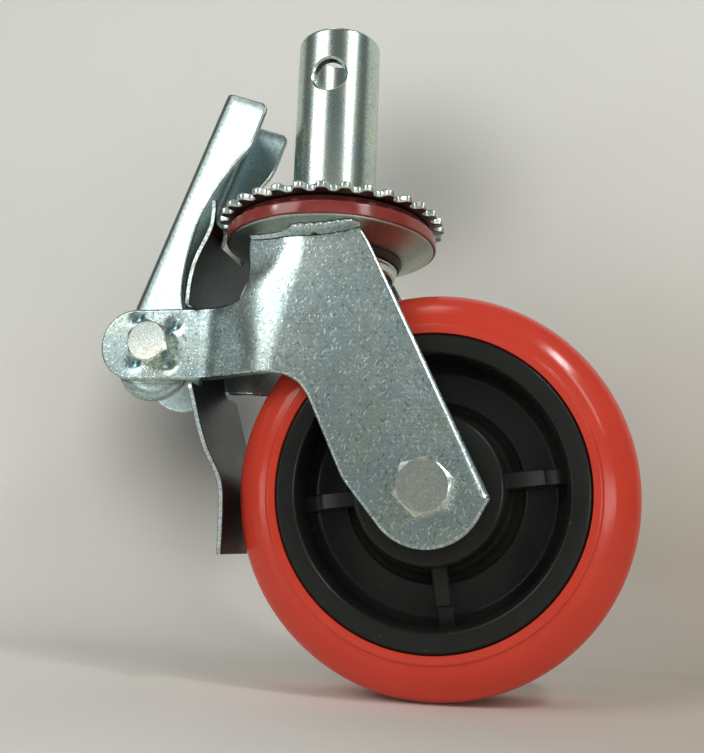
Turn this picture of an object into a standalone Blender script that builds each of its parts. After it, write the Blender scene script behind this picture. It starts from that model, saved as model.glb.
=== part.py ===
"""Braked swivel caster for a scaffold leg: hollow spigot, toothed swivel plate, pressed fork, wheel, brake.

Frame: origin on the swivel axis at the shoulder, the toothed plate's top face. +Z runs up the spigot,
+X points towards the wheel's offset, and the axle lies along Y. Metres.
"""

import math

import bmesh
import bpy
from mathutils import Matrix, Vector

MM = 0.001

# Driving sizes
WHEEL_RADIUS = 75.0 * MM
WHEEL_OFFSET = 45.8 * MM
WHEEL_HALF_WIDTH = 24.0 * MM
SPIGOT_RADIUS = 17.5 * MM
SPIGOT_HEIGHT = 81.0 * MM
SPIGOT_WALL = 4.0 * MM
CROSS_HOLE_RADIUS = 7.0 * MM
CROSS_HOLE_HEIGHT = 60.0 * MM
TOOTH_COUNT = 32
TOOTH_TIP_RADIUS = 46.9 * MM
TOOTH_DEPTH = 3.6 * MM
TOOTH_PHASE = math.radians(8.4)
PLATE_THICKNESS = 3.0 * MM
LEG_THICKNESS = 4.0 * MM
LEG_INNER_Y = 30.0 * MM
ARM_INNER_Y = 16.2 * MM
ARM_HALF_HEIGHT = 14.4 * MM
BRAKE_PIVOT_X = -67.0 * MM
BRAKE_PIVOT_Z = -55.0 * MM
LEVER_LEAN = math.radians(20.0)
LEVER_THICKNESS = 2.5 * MM
BAR_HALF_WIDTH = 25.4 * MM
BAR_THICKNESS = 2.0 * MM
AXLE_RADIUS = 6.0 * MM
BRAKE_BOLT_RADIUS = 5.0 * MM

# Clearances
GAP = 0.3 * MM
RUNNING_GAP = 0.5 * MM

# Shared places worked out from the driving sizes
WHEEL_DROP = WHEEL_RADIUS + 35.9 * MM
AXLE = Vector((WHEEL_OFFSET, 0.0, -WHEEL_DROP))
PIVOT = Vector((BRAKE_PIVOT_X, 0.0, BRAKE_PIVOT_Z))
LEG_OUTER_Y = LEG_INNER_Y + LEG_THICKNESS
ARM_OUTER_Y = ARM_INNER_Y + LEG_THICKNESS
DISH_RADIUS = TOOTH_TIP_RADIUS - 4.4 * MM
DISH_FLAT_RADIUS = DISH_RADIUS - 12.5 * MM
DISH_RIM_Z = -12.2 * MM
DISH_FLOOR_Z = -16.8 * MM
DISH_THICKNESS = 3.5 * MM
CORE_RADIUS = WHEEL_RADIUS - 17.5 * MM
HUB_FACE_Y = LEG_INNER_Y - 2.8 * MM
KINGPIN_RADIUS = 8.5 * MM
COLLAR_RADIUS = SPIGOT_RADIUS + 2.2 * MM
CUP_TOP_Z = -20.0 * MM
CUP_BOTTOM_Z = -24.6 * MM

MODEL_NAME = "scaffold_caster"
CUTTER_NAME = "scaffold_caster_cutters"


def clear_scene():
    for old in list(bpy.data.objects):
        bpy.data.objects.remove(old, do_unlink=True)


def new_collection(name):
    collection = bpy.data.collections.new(name)
    bpy.context.scene.collection.children.link(collection)
    return collection


def make_material(name, colour, roughness, metallic):
    material = bpy.data.materials.new(name)
    material.use_nodes = True
    shader = material.node_tree.nodes["Principled BSDF"]
    shader.inputs["Base Color"].default_value = (*colour, 1.0)
    shader.inputs["Roughness"].default_value = roughness
    shader.inputs["Metallic"].default_value = metallic
    return material


def link(obj, collection, material=None):
    collection.objects.link(obj)
    if material is not None:
        obj.data.materials.clear()
        obj.data.materials.append(material)
    return obj


def shade(obj, angle=35.0):
    """Smooth shading, with the edges sharper than the angle kept hard."""
    obj.data.shade_smooth()
    obj.data.set_sharp_from_angle(angle=math.radians(angle))


def baked(obj):
    """The object's evaluated mesh, on its own, with its caps and seams welded."""
    bpy.context.view_layer.update()
    graph = bpy.context.evaluated_depsgraph_get()
    mesh = bpy.data.meshes.new_from_object(obj.evaluated_get(graph))
    work = bmesh.new()
    work.from_mesh(mesh)
    bmesh.ops.remove_doubles(work, verts=work.verts, dist=0.00001)
    bmesh.ops.recalc_face_normals(work, faces=work.faces)
    work.to_mesh(mesh)
    work.free()
    return mesh


def replace_with_mesh(obj, material):
    """Swap an object for a plain mesh of what it evaluates to, under the same name."""
    mesh = baked(obj)
    name = obj.name
    place = obj.matrix_world.copy()
    bpy.data.objects.remove(obj, do_unlink=True)
    solid = bpy.data.objects.new(name, mesh)
    solid.matrix_world = place
    return link(solid, MODEL, material)


def turned(name, profile, segments, material, along_y=False, collection=None):
    """A closed profile of (radius, height) pairs, its outer side top to bottom, turned about Z or Y."""
    mesh = bpy.data.meshes.new(name)
    count = len(profile)
    on_axis = profile[0][0] == 0.0 and profile[-1][0] == 0.0
    edges = [(i, i + 1) for i in range(count - 1)]
    if not on_axis:
        edges.append((count - 1, 0))
    mesh.from_pydata([(r, 0.0, z) for r, z in profile], edges, [])
    obj = bpy.data.objects.new(name, mesh)
    link(obj, collection or MODEL, material)
    screw = obj.modifiers.new("turn", "SCREW")
    screw.axis = "Z"
    screw.steps = segments
    screw.render_steps = segments
    screw.use_merge_vertices = True
    screw.merge_threshold = 0.00001
    screw.use_smooth_shade = True
    if along_y:
        obj.rotation_euler = (math.radians(90.0), 0.0, 0.0)
    return obj


def flat_plate(name, outlines, thickness, material):
    """A plate in the XY plane from closed outlines; an outline inside another is a hole."""
    curve = bpy.data.curves.new(name, "CURVE")
    curve.dimensions = "2D"
    curve.fill_mode = "BOTH"
    curve.extrude = thickness / 2.0
    for outline in outlines:
        spline = curve.splines.new("POLY")
        spline.points.add(len(outline) - 1)
        for point, (x, y) in zip(spline.points, outline):
            point.co = (x, y, 0.0, 1.0)
        spline.use_cyclic_u = True
    obj = bpy.data.objects.new(name, curve)
    link(obj, MODEL)
    curve.materials.append(material)
    return obj


def arc(centre, radius, start, end, steps):
    """Points on an arc, angles in degrees, both ends included."""
    points = []
    for i in range(steps + 1):
        angle = math.radians(start + (end - start) * i / steps)
        points.append((centre[0] + radius * math.cos(angle), centre[1] + radius * math.sin(angle)))
    return points


def circle(centre, radius, steps):
    return arc(centre, radius, 0.0, 360.0 - 360.0 / steps, steps - 1)


def boolean(obj, other, operation, keep=False):
    """Apply one Boolean to an object and drop or hide the other."""
    modifier = obj.modifiers.new(operation.lower(), "BOOLEAN")
    modifier.object = other
    modifier.operation = operation
    modifier.solver = "EXACT"
    material = obj.data.materials[0]
    solid = replace_with_mesh(obj, material)
    if not keep:
        bpy.data.objects.remove(other, do_unlink=True)
    return solid


def cutter_cylinder(name, radius, length, place, axis, steps=32):
    """A round cutter centred on a place, along X, Y or Z."""
    mesh = bpy.data.meshes.new(name)
    work = bmesh.new()
    bmesh.ops.create_cone(work, cap_ends=True, segments=steps, radius1=radius, radius2=radius, depth=length)
    turn = {"X": Matrix.Rotation(math.radians(90.0), 4, "Y"), "Y": Matrix.Rotation(math.radians(90.0), 4, "X"),
            "Z": Matrix.Identity(4)}[axis]
    bmesh.ops.transform(work, matrix=Matrix.Translation(place) @ turn, verts=work.verts)
    work.to_mesh(mesh)
    work.free()
    obj = bpy.data.objects.new(name, mesh)
    obj.hide_render = True
    obj.display_type = "WIRE"
    return link(obj, CUTTERS)


def hang_on(parent, *pieces):
    """Parent pieces to an empty and leave them where they are."""
    bpy.context.view_layer.update()
    for piece in pieces:
        place = piece.matrix_world.copy()
        piece.parent = parent
        piece.matrix_parent_inverse = parent.matrix_world.inverted()
        piece.matrix_world = place


def joint_empty(name, place):
    empty = bpy.data.objects.new(name, None)
    empty.empty_display_size = 0.02
    empty.location = place
    MODEL.objects.link(empty)
    bpy.context.view_layer.update()
    return empty


def dish_underside(radius):
    """Height of the fork head's underside at a radius: a flat floor, a cone and a rolled rim."""
    stations = [(DISH_FLAT_RADIUS, DISH_FLOOR_Z), (DISH_FLAT_RADIUS + 2.0 * MM, DISH_FLOOR_Z + 0.6 * MM),
                (DISH_FLAT_RADIUS + 6.0 * MM, DISH_FLOOR_Z + 2.5 * MM),
                (DISH_RADIUS - 2.5 * MM, DISH_RIM_Z - 0.5 * MM), (DISH_RADIUS - 0.5 * MM, DISH_RIM_Z)]
    if radius <= stations[0][0]:
        return stations[0][1]
    for (r0, z0), (r1, z1) in zip(stations, stations[1:]):
        if radius <= r1:
            return z0 + (z1 - z0) * (radius - r0) / (r1 - r0)
    return stations[-1][1]


def build_spigot():
    """Hollow spigot: a tube with rounded top edges and one hole drilled across it."""
    inner = SPIGOT_RADIUS - SPIGOT_WALL
    edge = 1.2 * MM
    top = SPIGOT_HEIGHT
    profile = [(inner + 0.5 * MM, top), (SPIGOT_RADIUS - edge, top), (SPIGOT_RADIUS - 0.3 * edge, top - 0.3 * edge),
               (SPIGOT_RADIUS, top - edge), (SPIGOT_RADIUS, -PLATE_THICKNESS), (inner, -PLATE_THICKNESS),
               (inner, top - 0.5 * MM)]
    tube = turned("spigot", profile, 48, STEEL)
    place = Vector((0.0, 0.0, CROSS_HOLE_HEIGHT))
    drill = cutter_cylinder("cross_drill", CROSS_HOLE_RADIUS, 3.0 * SPIGOT_RADIUS, place, "Y")
    tube = boolean(tube, drill, "DIFFERENCE")
    shade(tube)
    return tube


def tooth_outline():
    """The toothed rim: one rounded tooth per pitch, worked round the plate."""
    pitch = 2.0 * math.pi / TOOTH_COUNT
    root = TOOTH_TIP_RADIUS - TOOTH_DEPTH
    shape = [(-0.50, root), (-0.31, root + 0.15 * TOOTH_DEPTH), (-0.21, root + 0.80 * TOOTH_DEPTH),
             (-0.12, TOOTH_TIP_RADIUS), (0.12, TOOTH_TIP_RADIUS), (0.21, root + 0.80 * TOOTH_DEPTH),
             (0.31, root + 0.15 * TOOTH_DEPTH)]
    points = []
    for tooth in range(TOOTH_COUNT):
        for share, radius in shape:
            angle = TOOTH_PHASE + (tooth + share) * pitch
            points.append((radius * math.cos(angle), radius * math.sin(angle)))
    return points


def build_toothed_plate():
    """Swivel lock plate, pressed over the spigot: a flat disc with a toothed rim."""
    bore = circle((0.0, 0.0), SPIGOT_RADIUS + GAP, 48)
    plate = flat_plate("toothed_plate", [tooth_outline(), bore], PLATE_THICKNESS, STEEL)
    plate.location = (0.0, 0.0, -PLATE_THICKNESS / 2.0)
    return plate


def build_kingpin():
    """Stepped kingpin: a plug in the tube, a collar under the plate and a shank down through the fork head."""
    plug = SPIGOT_RADIUS - SPIGOT_WALL - GAP
    low = CUP_BOTTOM_Z - 12.0 * MM
    profile = [(0.0, 6.0 * MM), (plug - 1.0 * MM, 6.0 * MM), (plug, 5.0 * MM), (plug, -PLATE_THICKNESS),
               (COLLAR_RADIUS, -PLATE_THICKNESS), (COLLAR_RADIUS, -PLATE_THICKNESS - 5.0 * MM),
               (KINGPIN_RADIUS, -PLATE_THICKNESS - 5.0 * MM), (KINGPIN_RADIUS, low + 1.0 * MM),
               (KINGPIN_RADIUS - 1.0 * MM, low), (0.0, low)]
    pin = turned("kingpin", profile, 32, STEEL)
    shade(pin)
    return pin


def build_races():
    """Upper race, upper and lower ball rings, and the pressed cup that closes the swivel from below."""
    race_bore = COLLAR_RADIUS + GAP
    race_radius = DISH_RADIUS - 8.5 * MM
    race_low = -PLATE_THICKNESS - 4.8 * MM
    race = turned("upper_race", [(race_radius - 1.0 * MM, -PLATE_THICKNESS), (race_radius, -PLATE_THICKNESS - 1.0 * MM),
                                 (race_radius - 1.0 * MM, race_low), (race_bore, race_low),
                                 (race_bore, -PLATE_THICKNESS)], 32, STEEL)
    dish_top = DISH_FLOOR_Z + DISH_THICKNESS
    track_radius = (COLLAR_RADIUS + race_radius - 1.7 * MM) / 2.0
    upper = turned("upper_ball_ring", ring_section(track_radius, (race_low + dish_top) / 2.0,
                                                   (race_low - dish_top) / 2.0 - GAP), 28, STEEL)
    floor = CUP_BOTTOM_Z + 3.4 * MM
    lower = turned("lower_ball_ring", ring_section(16.0 * MM, (DISH_FLOOR_Z + floor) / 2.0,
                                                   (DISH_FLOOR_Z - floor) / 2.0 - GAP), 24, STEEL)
    rim = 27.5 * MM
    cup = turned("lower_cup", [(rim, CUP_TOP_Z), (rim, CUP_TOP_Z - 0.9 * MM), (rim - 0.8 * MM, CUP_TOP_Z - 1.3 * MM),
                               (rim - 0.8 * MM, CUP_BOTTOM_Z + 0.8 * MM), (rim - 1.8 * MM, CUP_BOTTOM_Z),
                               (KINGPIN_RADIUS + GAP, CUP_BOTTOM_Z), (KINGPIN_RADIUS + GAP, floor),
                               (rim - 3.4 * MM, floor), (rim - 2.2 * MM, CUP_TOP_Z)], 40, STEEL)
    for piece in (race, upper, lower, cup):
        shade(piece)
    return race, upper, lower, cup


def ring_section(centre_radius, height, radius):
    """A round section for a ring of balls, read from the top down its outer side."""
    steps = 8
    section = []
    for i in range(steps):
        angle = math.radians(90.0 - 360.0 * i / steps)
        section.append((centre_radius + radius * math.cos(angle), height + radius * math.sin(angle)))
    return section


def build_fork_head():
    """Pressed fork head: a shallow dish with a rolled rim, seen from below between the legs."""
    top = [(KINGPIN_RADIUS + RUNNING_GAP, DISH_FLOOR_Z + DISH_THICKNESS),
           (DISH_FLAT_RADIUS, DISH_FLOOR_Z + DISH_THICKNESS),
           (DISH_FLAT_RADIUS + 4.5 * MM, DISH_FLOOR_Z + DISH_THICKNESS + 1.8 * MM),
           (DISH_RADIUS - 3.0 * MM, DISH_RIM_Z + DISH_THICKNESS - 0.3 * MM),
           (DISH_RADIUS - 0.5 * MM, DISH_RIM_Z + DISH_THICKNESS),
           (DISH_RADIUS, DISH_RIM_Z + DISH_THICKNESS - 0.5 * MM), (DISH_RADIUS, DISH_RIM_Z + 0.5 * MM)]
    under = [(r, dish_underside(r)) for r in (DISH_RADIUS - 0.5 * MM, DISH_RADIUS - 2.5 * MM,
                                              DISH_FLAT_RADIUS + 6.0 * MM, DISH_FLAT_RADIUS + 2.0 * MM,
                                              DISH_FLAT_RADIUS, KINGPIN_RADIUS + RUNNING_GAP)]
    dish = turned("fork_head", top + under, 48, STEEL)
    shade(dish)
    return dish


def build_dust_ring():
    """Red plastic ring over the fork head's rim: a narrow neck, a step out, and a skirt down to the rim."""
    outer = DISH_RADIUS + 1.05 * MM
    neck = outer - 2.2 * MM
    skirt = DISH_RADIUS + GAP
    seat = DISH_RIM_Z + DISH_THICKNESS + GAP
    low = DISH_RIM_Z + 0.7 * MM
    top = -PLATE_THICKNESS - GAP
    step = top - 2.9 * MM
    profile = [(neck - 0.4 * MM, top), (neck, step + 0.3 * MM), (outer - 0.5 * MM, step), (outer, step - 0.5 * MM),
               (outer, low + 0.4 * MM), (outer - 0.2 * MM, low), (skirt, low), (skirt, seat),
               (DISH_RADIUS - 6.0 * MM, seat), (DISH_RADIUS - 6.0 * MM, top)]
    ring = turned("dust_ring", profile, 48, RED_PLASTIC)
    shade(ring)
    return ring


def build_seal():
    """Black tapered seal between the fork head and the lower cup."""
    profile = [(29.5 * MM, DISH_FLOOR_Z), (29.5 * MM, DISH_FLOOR_Z - 0.8 * MM), (28.2 * MM, CUP_TOP_Z + GAP),
               (22.5 * MM, CUP_TOP_Z + GAP), (22.5 * MM, DISH_FLOOR_Z)]
    seal = turned("swivel_seal", profile, 40, RUBBER)
    shade(seal)
    return seal


def leg_outline():
    """One pressed leg seen from the side: top, straight front edge, round foot, straight back edge, brake arm."""
    foot = 21.6 * MM
    arm_top = PIVOT.z + ARM_HALF_HEIGHT
    arm_low = PIVOT.z - ARM_HALF_HEIGHT
    arm_end = (PIVOT.x - 8.4 * MM, PIVOT.z)
    axle = (AXLE.x, AXLE.z)
    front = [(22.6 * MM, DISH_FLOOR_Z - 2.8 * MM), (AXLE.x + 22.8 * MM, AXLE.z - 3.4 * MM)]
    round_foot = arc(axle, foot, -22.0, -136.0, 12)
    back = [(AXLE.x - 30.0 * MM, AXLE.z + 2.6 * MM)]
    back += [(1.4 * MM, -77.6 * MM), (-1.8 * MM, -73.6 * MM), (-6.8 * MM, -70.6 * MM), (-13.0 * MM, arm_low)]
    under_arm = [(x * MM, arm_low) for x in (-20.0, -44.0)]
    end = arc(arm_end, ARM_HALF_HEIGHT, 270.0, 90.0, 12)
    over_arm = [(-44.0 * MM, arm_top), (-33.0 * MM, arm_top), (-29.6 * MM, arm_top + 1.2 * MM),
                (-27.6 * MM, arm_top + 4.2 * MM), (-27.0 * MM, arm_top + 9.0 * MM)]
    crown = []
    for x in (-27.0, -24.0, -20.0, -16.0, -12.0, -6.0, 0.0, 6.0, 12.0, 16.0, 19.0):
        inner = leg_face(x * MM, -16.0 * MM)[1]
        crown.append((x * MM, dish_underside(math.hypot(x * MM, inner)) - GAP))
    return front + round_foot + back + under_arm + end + over_arm + crown


def bend_line(height):
    """Where the leg starts to turn inwards, at a height: a line that leans back, then runs straight down."""
    upper = (-7.8 * MM, -16.5 * MM)
    lower = (-19.6 * MM, -53.5 * MM)
    share = (height - upper[1]) / (lower[1] - upper[1])
    return upper[0] + (lower[0] - upper[0]) * min(max(share, 0.0), 1.0)


def leg_face(x, height):
    """Distances of the leg's outer and inner faces from the middle plane, with the joggle's soft bends."""
    ramp_end = -43.8 * MM
    start = bend_line(height)
    depth = ARM_OUTER_Y - LEG_OUTER_Y
    share = (start - x) / (start - ramp_end)
    soft = 0.10
    if share <= -soft:
        eased = 0.0
        slope = 0.0
    elif share < soft:
        eased = (share + soft) ** 2 / (4.0 * soft)
        slope = (share + soft) / (2.0 * soft)
    elif share <= 1.0 - soft:
        eased = share
        slope = 1.0
    elif share < 1.0 + soft:
        eased = 1.0 - (1.0 + soft - share) ** 2 / (4.0 * soft)
        slope = (1.0 + soft - share) / (2.0 * soft)
    else:
        eased = 1.0
        slope = 0.0
    steepness = slope * depth / (start - ramp_end)
    outer = LEG_OUTER_Y + depth * eased
    inner = outer - LEG_THICKNESS * math.sqrt(1.0 + steepness ** 2)
    return outer, inner


def build_leg(name, side):
    """A pressed leg with its brake arm: a flat blank, scored where it bends, then folded by the joggle."""
    axle_hole = circle((AXLE.x, AXLE.z), AXLE_RADIUS + GAP, 24)
    bolt_hole = circle((PIVOT.x, PIVOT.z), BRAKE_BOLT_RADIUS + GAP, 20)
    blank = flat_plate(name, [leg_outline(), axle_hole, bolt_hole], LEG_THICKNESS, STEEL)
    mesh = baked(blank)
    bpy.data.objects.remove(blank, do_unlink=True)
    work = bmesh.new()
    work.from_mesh(mesh)
    high = -12.0 * MM
    kink = -53.5 * MM
    low = -72.0 * MM
    ramp_end = -43.8 * MM
    for share in (-0.10, 0.0, 0.10, 0.90, 1.0, 1.10):
        ends = [(bend_line(z) + (ramp_end - bend_line(z)) * share, z) for z in (high, kink, low)]
        for (x0, z0), (x1, z1) in zip(ends, ends[1:]):
            normal = Vector((z1 - z0, x0 - x1, 0.0)).normalized()
            chosen = [f for f in work.faces if min(z0, z1) - 1e-6 <= f.calc_center_median().y <= max(z0, z1) + 1e-6]
            geometry = set(chosen)
            for face in chosen:
                geometry.update(face.edges)
                geometry.update(face.verts)
            bmesh.ops.bisect_plane(work, geom=list(geometry), plane_co=(x0, z0, 0.0), plane_no=normal, dist=1e-7)
        if share == -0.10:
            whole = work.verts[:] + work.edges[:] + work.faces[:]
            bmesh.ops.bisect_plane(work, geom=whole, plane_co=(0.0, kink, 0.0), plane_no=(0.0, 1.0, 0.0), dist=1e-7)
    for vertex in work.verts:
        outer, inner = leg_face(vertex.co.x, vertex.co.y)
        distance = outer if vertex.co.z > 0.0 else inner
        vertex.co = Vector((vertex.co.x, side * distance, vertex.co.y))
    bmesh.ops.triangulate(work, faces=work.faces)
    bmesh.ops.remove_doubles(work, verts=work.verts, dist=0.00001)
    bmesh.ops.recalc_face_normals(work, faces=work.faces)
    work.to_mesh(mesh)
    work.free()
    leg = bpy.data.objects.new(name, mesh)
    link(leg, MODEL, STEEL)
    shade(leg, 25.0)
    return leg


def build_weld(name, side):
    """Fillet weld between a leg's outer face and the fork head: a lofted bead with a rippled back."""
    stations = 15
    start = -12.0 * MM
    end = 19.0 * MM
    face = LEG_OUTER_Y + GAP
    seam = dish_underside(face) - 2.5 * MM
    rings = []
    for i in range(stations):
        x = start + (end - start) * i / (stations - 1)
        swell = 1.0 + 0.10 * math.sin(2.3 * i) + 0.05 * math.sin(5.1 * i)
        if i in (0, stations - 1):
            swell = 0.6
        roof_in = dish_underside(math.hypot(x, face)) - GAP
        out = face + 3.0 * MM * swell
        roof_out = dish_underside(math.hypot(x, out)) - GAP
        low = seam - 0.7 * MM * swell
        rings.append([(x, side * face, roof_in), (x, side * out, roof_out),
                      (x, side * (face + 2.4 * MM * swell), (roof_out + low) / 2.0),
                      (x, side * (face + 0.9 * MM * swell), low + 0.4 * MM), (x, side * face, low)])
    mesh = bpy.data.meshes.new(name)
    points = [point for ring in rings for point in ring]
    sides = len(rings[0])
    faces = []
    for i in range(stations - 1):
        for k in range(sides):
            after = (k + 1) % sides
            faces.append((i * sides + k, i * sides + after, (i + 1) * sides + after, (i + 1) * sides + k))
    faces.append(tuple(range(sides)))
    faces.append(tuple(range((stations - 1) * sides, stations * sides)))
    mesh.from_pydata(points, [], faces)
    bead = bpy.data.objects.new(name, mesh)
    link(bead, MODEL, STEEL)
    work = bmesh.new()
    work.from_mesh(mesh)
    bmesh.ops.recalc_face_normals(work, faces=work.faces)
    work.to_mesh(mesh)
    work.free()
    shade(bead, 50.0)
    return bead


def hex_prism(name, across, low, high, chamfer, bore=0.0, both_ends=False):
    """A hexagon with its corners turned off at one end or both, about Z."""
    corner = across / math.sqrt(3.0)
    flat = across / 2.0 * 0.97
    mesh = bpy.data.meshes.new(name)
    work = bmesh.new()
    bmesh.ops.create_cone(work, cap_ends=True, segments=6, radius1=corner, radius2=corner, depth=high - low)
    bmesh.ops.translate(work, vec=(0.0, 0.0, (high + low) / 2.0), verts=work.verts)
    work.to_mesh(mesh)
    work.free()
    prism = bpy.data.objects.new(name, mesh)
    link(prism, MODEL, STEEL)
    wide = corner * 1.02
    beyond = 0.4 * MM
    bottom = [(flat, low)] if both_ends else [(wide, low - beyond)]
    shoulder = [(wide, low + chamfer)] if both_ends else []
    inner = [(bore, low if both_ends else low - beyond), (bore, high)] if bore else [(0.0, low - beyond)]
    if bore:
        profile = [(flat, high), (wide, high - chamfer)] + shoulder + bottom + inner
    else:
        profile = [(0.0, high), (flat, high), (wide, high - chamfer)] + shoulder + bottom + inner
    form = turned(name + "_form", profile, 24, STEEL)
    return boolean(prism, form, "INTERSECT")


def hex_bolt(name, across, head, radius, length, axis_point, head_face_y):
    """A hexagon bolt along Y: its head stands on the near face, its shank runs to the far side."""
    overlap = 0.5 * MM
    top = hex_prism(name, across, 0.0, head, 1.2 * MM)
    profile = [(0.0, overlap), (radius, overlap), (radius, 1.0 * MM - length), (radius - 1.0 * MM, -length),
               (0.0, -length)]
    shank = turned(name + "_shank", profile, 24, STEEL)
    bolt = boolean(top, shank, "UNION")
    bolt.rotation_euler = (math.radians(90.0), 0.0, 0.0)
    bolt.location = (axis_point.x, -head_face_y, axis_point.z)
    shade(bolt, 28.0)
    return bolt


def lock_nut(name, across, height, radius):
    """A hexagon lock nut about Z from zero up, with the round collar that holds its insert."""
    body = hex_prism(name, across, 0.0, height * 0.7, 0.9 * MM, bore=radius + GAP, both_ends=True)
    collar_low = height * 0.6
    collar = across * 0.44
    profile = [(radius + 1.0 * MM, height), (collar - 0.8 * MM, height), (collar, height - 0.9 * MM),
               (collar, collar_low), (radius + GAP, collar_low), (radius + GAP, height - 0.7 * MM)]
    cap = turned(name + "_collar", profile, 18, STEEL)
    nut = boolean(body, cap, "UNION")
    shade(nut, 28.0)
    return nut


def far_nut(name, across, height, radius, axis_point, face_y):
    """The lock nut on a bolt's far end."""
    nut = lock_nut(name, across, height, radius)
    nut.rotation_euler = (math.radians(-90.0), 0.0, 0.0)
    nut.location = (axis_point.x, face_y, axis_point.z)
    return nut


def tyre_profile():
    """Half of the tyre's section, from the tread's middle to the bond: flat tread, sloping flank, raised lip."""
    side = WHEEL_HALF_WIDTH
    return [(WHEEL_RADIUS, 0.0), (WHEEL_RADIUS, side - 11.5 * MM), (WHEEL_RADIUS - 0.5 * MM, side - 9.6 * MM),
            (WHEEL_RADIUS - 2.2 * MM, side - 7.0 * MM), (WHEEL_RADIUS - 6.0 * MM, side - 3.6 * MM),
            (WHEEL_RADIUS - 10.5 * MM, side - 1.2 * MM), (WHEEL_RADIUS - 13.8 * MM, side - 0.5 * MM),
            (WHEEL_RADIUS - 14.3 * MM, side + 0.3 * MM), (CORE_RADIUS + GAP, side + 0.3 * MM)]


def build_tyre():
    """Moulded tyre, bonded round the core."""
    half = tyre_profile()
    upper = [(r, y) for r, y in reversed(half)]
    lower = [(r, -y) for r, y in half[1:]]
    tyre = turned("tyre", upper + lower, 60, RED_TYRE, along_y=True)
    tyre.location = AXLE
    shade(tyre)
    return tyre


def build_core():
    """Moulded core: bonding rim, recessed web and hub, with four stepped ribs on each side."""
    side = WHEEL_HALF_WIDTH
    web = 5.6 * MM
    seat = 16.6 * MM
    seat_floor = HUB_FACE_Y - 10.2 * MM
    half = [(CORE_RADIUS, 0.0), (CORE_RADIUS, side - 0.8 * MM), (CORE_RADIUS - 0.8 * MM, side),
            (CORE_RADIUS * 0.880, side), (CORE_RADIUS * 0.864, side - 0.9 * MM),
            (CORE_RADIUS * 0.845, web + 3.4 * MM), (CORE_RADIUS * 0.800, web), (CORE_RADIUS * 0.591, web),
            (CORE_RADIUS * 0.546, web + 2.6 * MM), (CORE_RADIUS * 0.522, web + 6.4 * MM),
            (CORE_RADIUS * 0.497, web + 7.4 * MM), (CORE_RADIUS * 0.475, HUB_FACE_Y - 0.8 * MM),
            (CORE_RADIUS * 0.463, HUB_FACE_Y), (seat, HUB_FACE_Y), (seat, seat_floor), (9.6 * MM, seat_floor)]
    upper = [(r, y) for r, y in reversed(half)]
    lower = [(r, -y) for r, y in half[1:]]
    core = turned("wheel_core", upper + lower, 48, CORE_BLACK, along_y=True)
    core = replace_with_mesh(core, CORE_BLACK)
    ribs = rib_body()
    core = boolean(core, ribs, "UNION")
    core.location = AXLE
    shade(core)
    return core


def rib_body():
    """Four ribs through the web, each stepped down near the rim: one side outline, given its width."""
    high = WHEEL_HALF_WIDTH - 6.6 * MM
    outline = [(CORE_RADIUS * 0.452, high), (CORE_RADIUS * 0.696, high), (CORE_RADIUS * 0.710, high - 3.8 * MM),
               (CORE_RADIUS * 0.848, high - 4.8 * MM)]
    outline += [(r, -y) for r, y in reversed(outline)]
    thickness = 6.3 * MM
    mesh = bpy.data.meshes.new("rib")
    work = bmesh.new()
    for k in range(4):
        turn = Matrix.Rotation(math.radians(90.0 * k - 5.0), 4, "Y")
        corners = [work.verts.new(turn @ Vector((r, y, -thickness / 2.0))) for r, y in outline]
        face = work.faces.new(corners)
        grown = bmesh.ops.extrude_face_region(work, geom=[face])
        moved = [item for item in grown["geom"] if isinstance(item, bmesh.types.BMVert)]
        bmesh.ops.translate(work, vec=turn @ Vector((0.0, 0.0, thickness)), verts=moved)
    bmesh.ops.recalc_face_normals(work, faces=work.faces)
    work.to_mesh(mesh)
    work.free()
    ribs = bpy.data.objects.new("rib", mesh)
    return link(ribs, CUTTERS)


def build_bearing(name, side):
    """A wheel bearing, seated in the hub's end."""
    inner = AXLE_RADIUS + 2.9 * MM
    outer = 16.3 * MM
    face = HUB_FACE_Y - 0.2 * MM
    seat_floor = HUB_FACE_Y - 9.9 * MM
    profile = [(outer - 0.7 * MM, face), (outer, face - 0.6 * MM), (outer, seat_floor), (inner, seat_floor),
               (inner, face)]
    ring = [(r, side * y) for r, y in (profile if side > 0 else reversed(profile))]
    bearing = turned(name, ring, 28, STEEL, along_y=True)
    bearing.rotation_euler = (math.radians(-90.0), 0.0, 0.0)
    bearing.location = AXLE
    shade(bearing)
    return bearing


def build_sleeve(name, inner, outer, half_length, place, segments=28):
    """A plain sleeve on a bolt, along Y."""
    profile = [(outer, half_length), (outer, -half_length), (inner, -half_length), (inner, half_length)]
    sleeve = turned(name, profile, segments, STEEL, along_y=True)
    sleeve.location = place
    shade(sleeve)
    return sleeve


def sheet(name, points, faces, thickness, offset, material):
    """A sheet-metal shell: an open surface given its thickness by Solidify."""
    mesh = bpy.data.meshes.new(name)
    mesh.from_pydata(points, [], faces)
    mesh.validate()
    obj = bpy.data.objects.new(name, mesh)
    link(obj, MODEL, material)
    work = bmesh.new()
    work.from_mesh(mesh)
    bmesh.ops.delete(work, geom=[v for v in work.verts if not v.link_faces], context="VERTS")
    work.to_mesh(mesh)
    work.free()
    solid = obj.modifiers.new("sheet", "SOLIDIFY")
    solid.thickness = thickness
    solid.offset = offset
    solid.use_even_offset = True
    solid.use_quality_normals = True
    return obj


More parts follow.
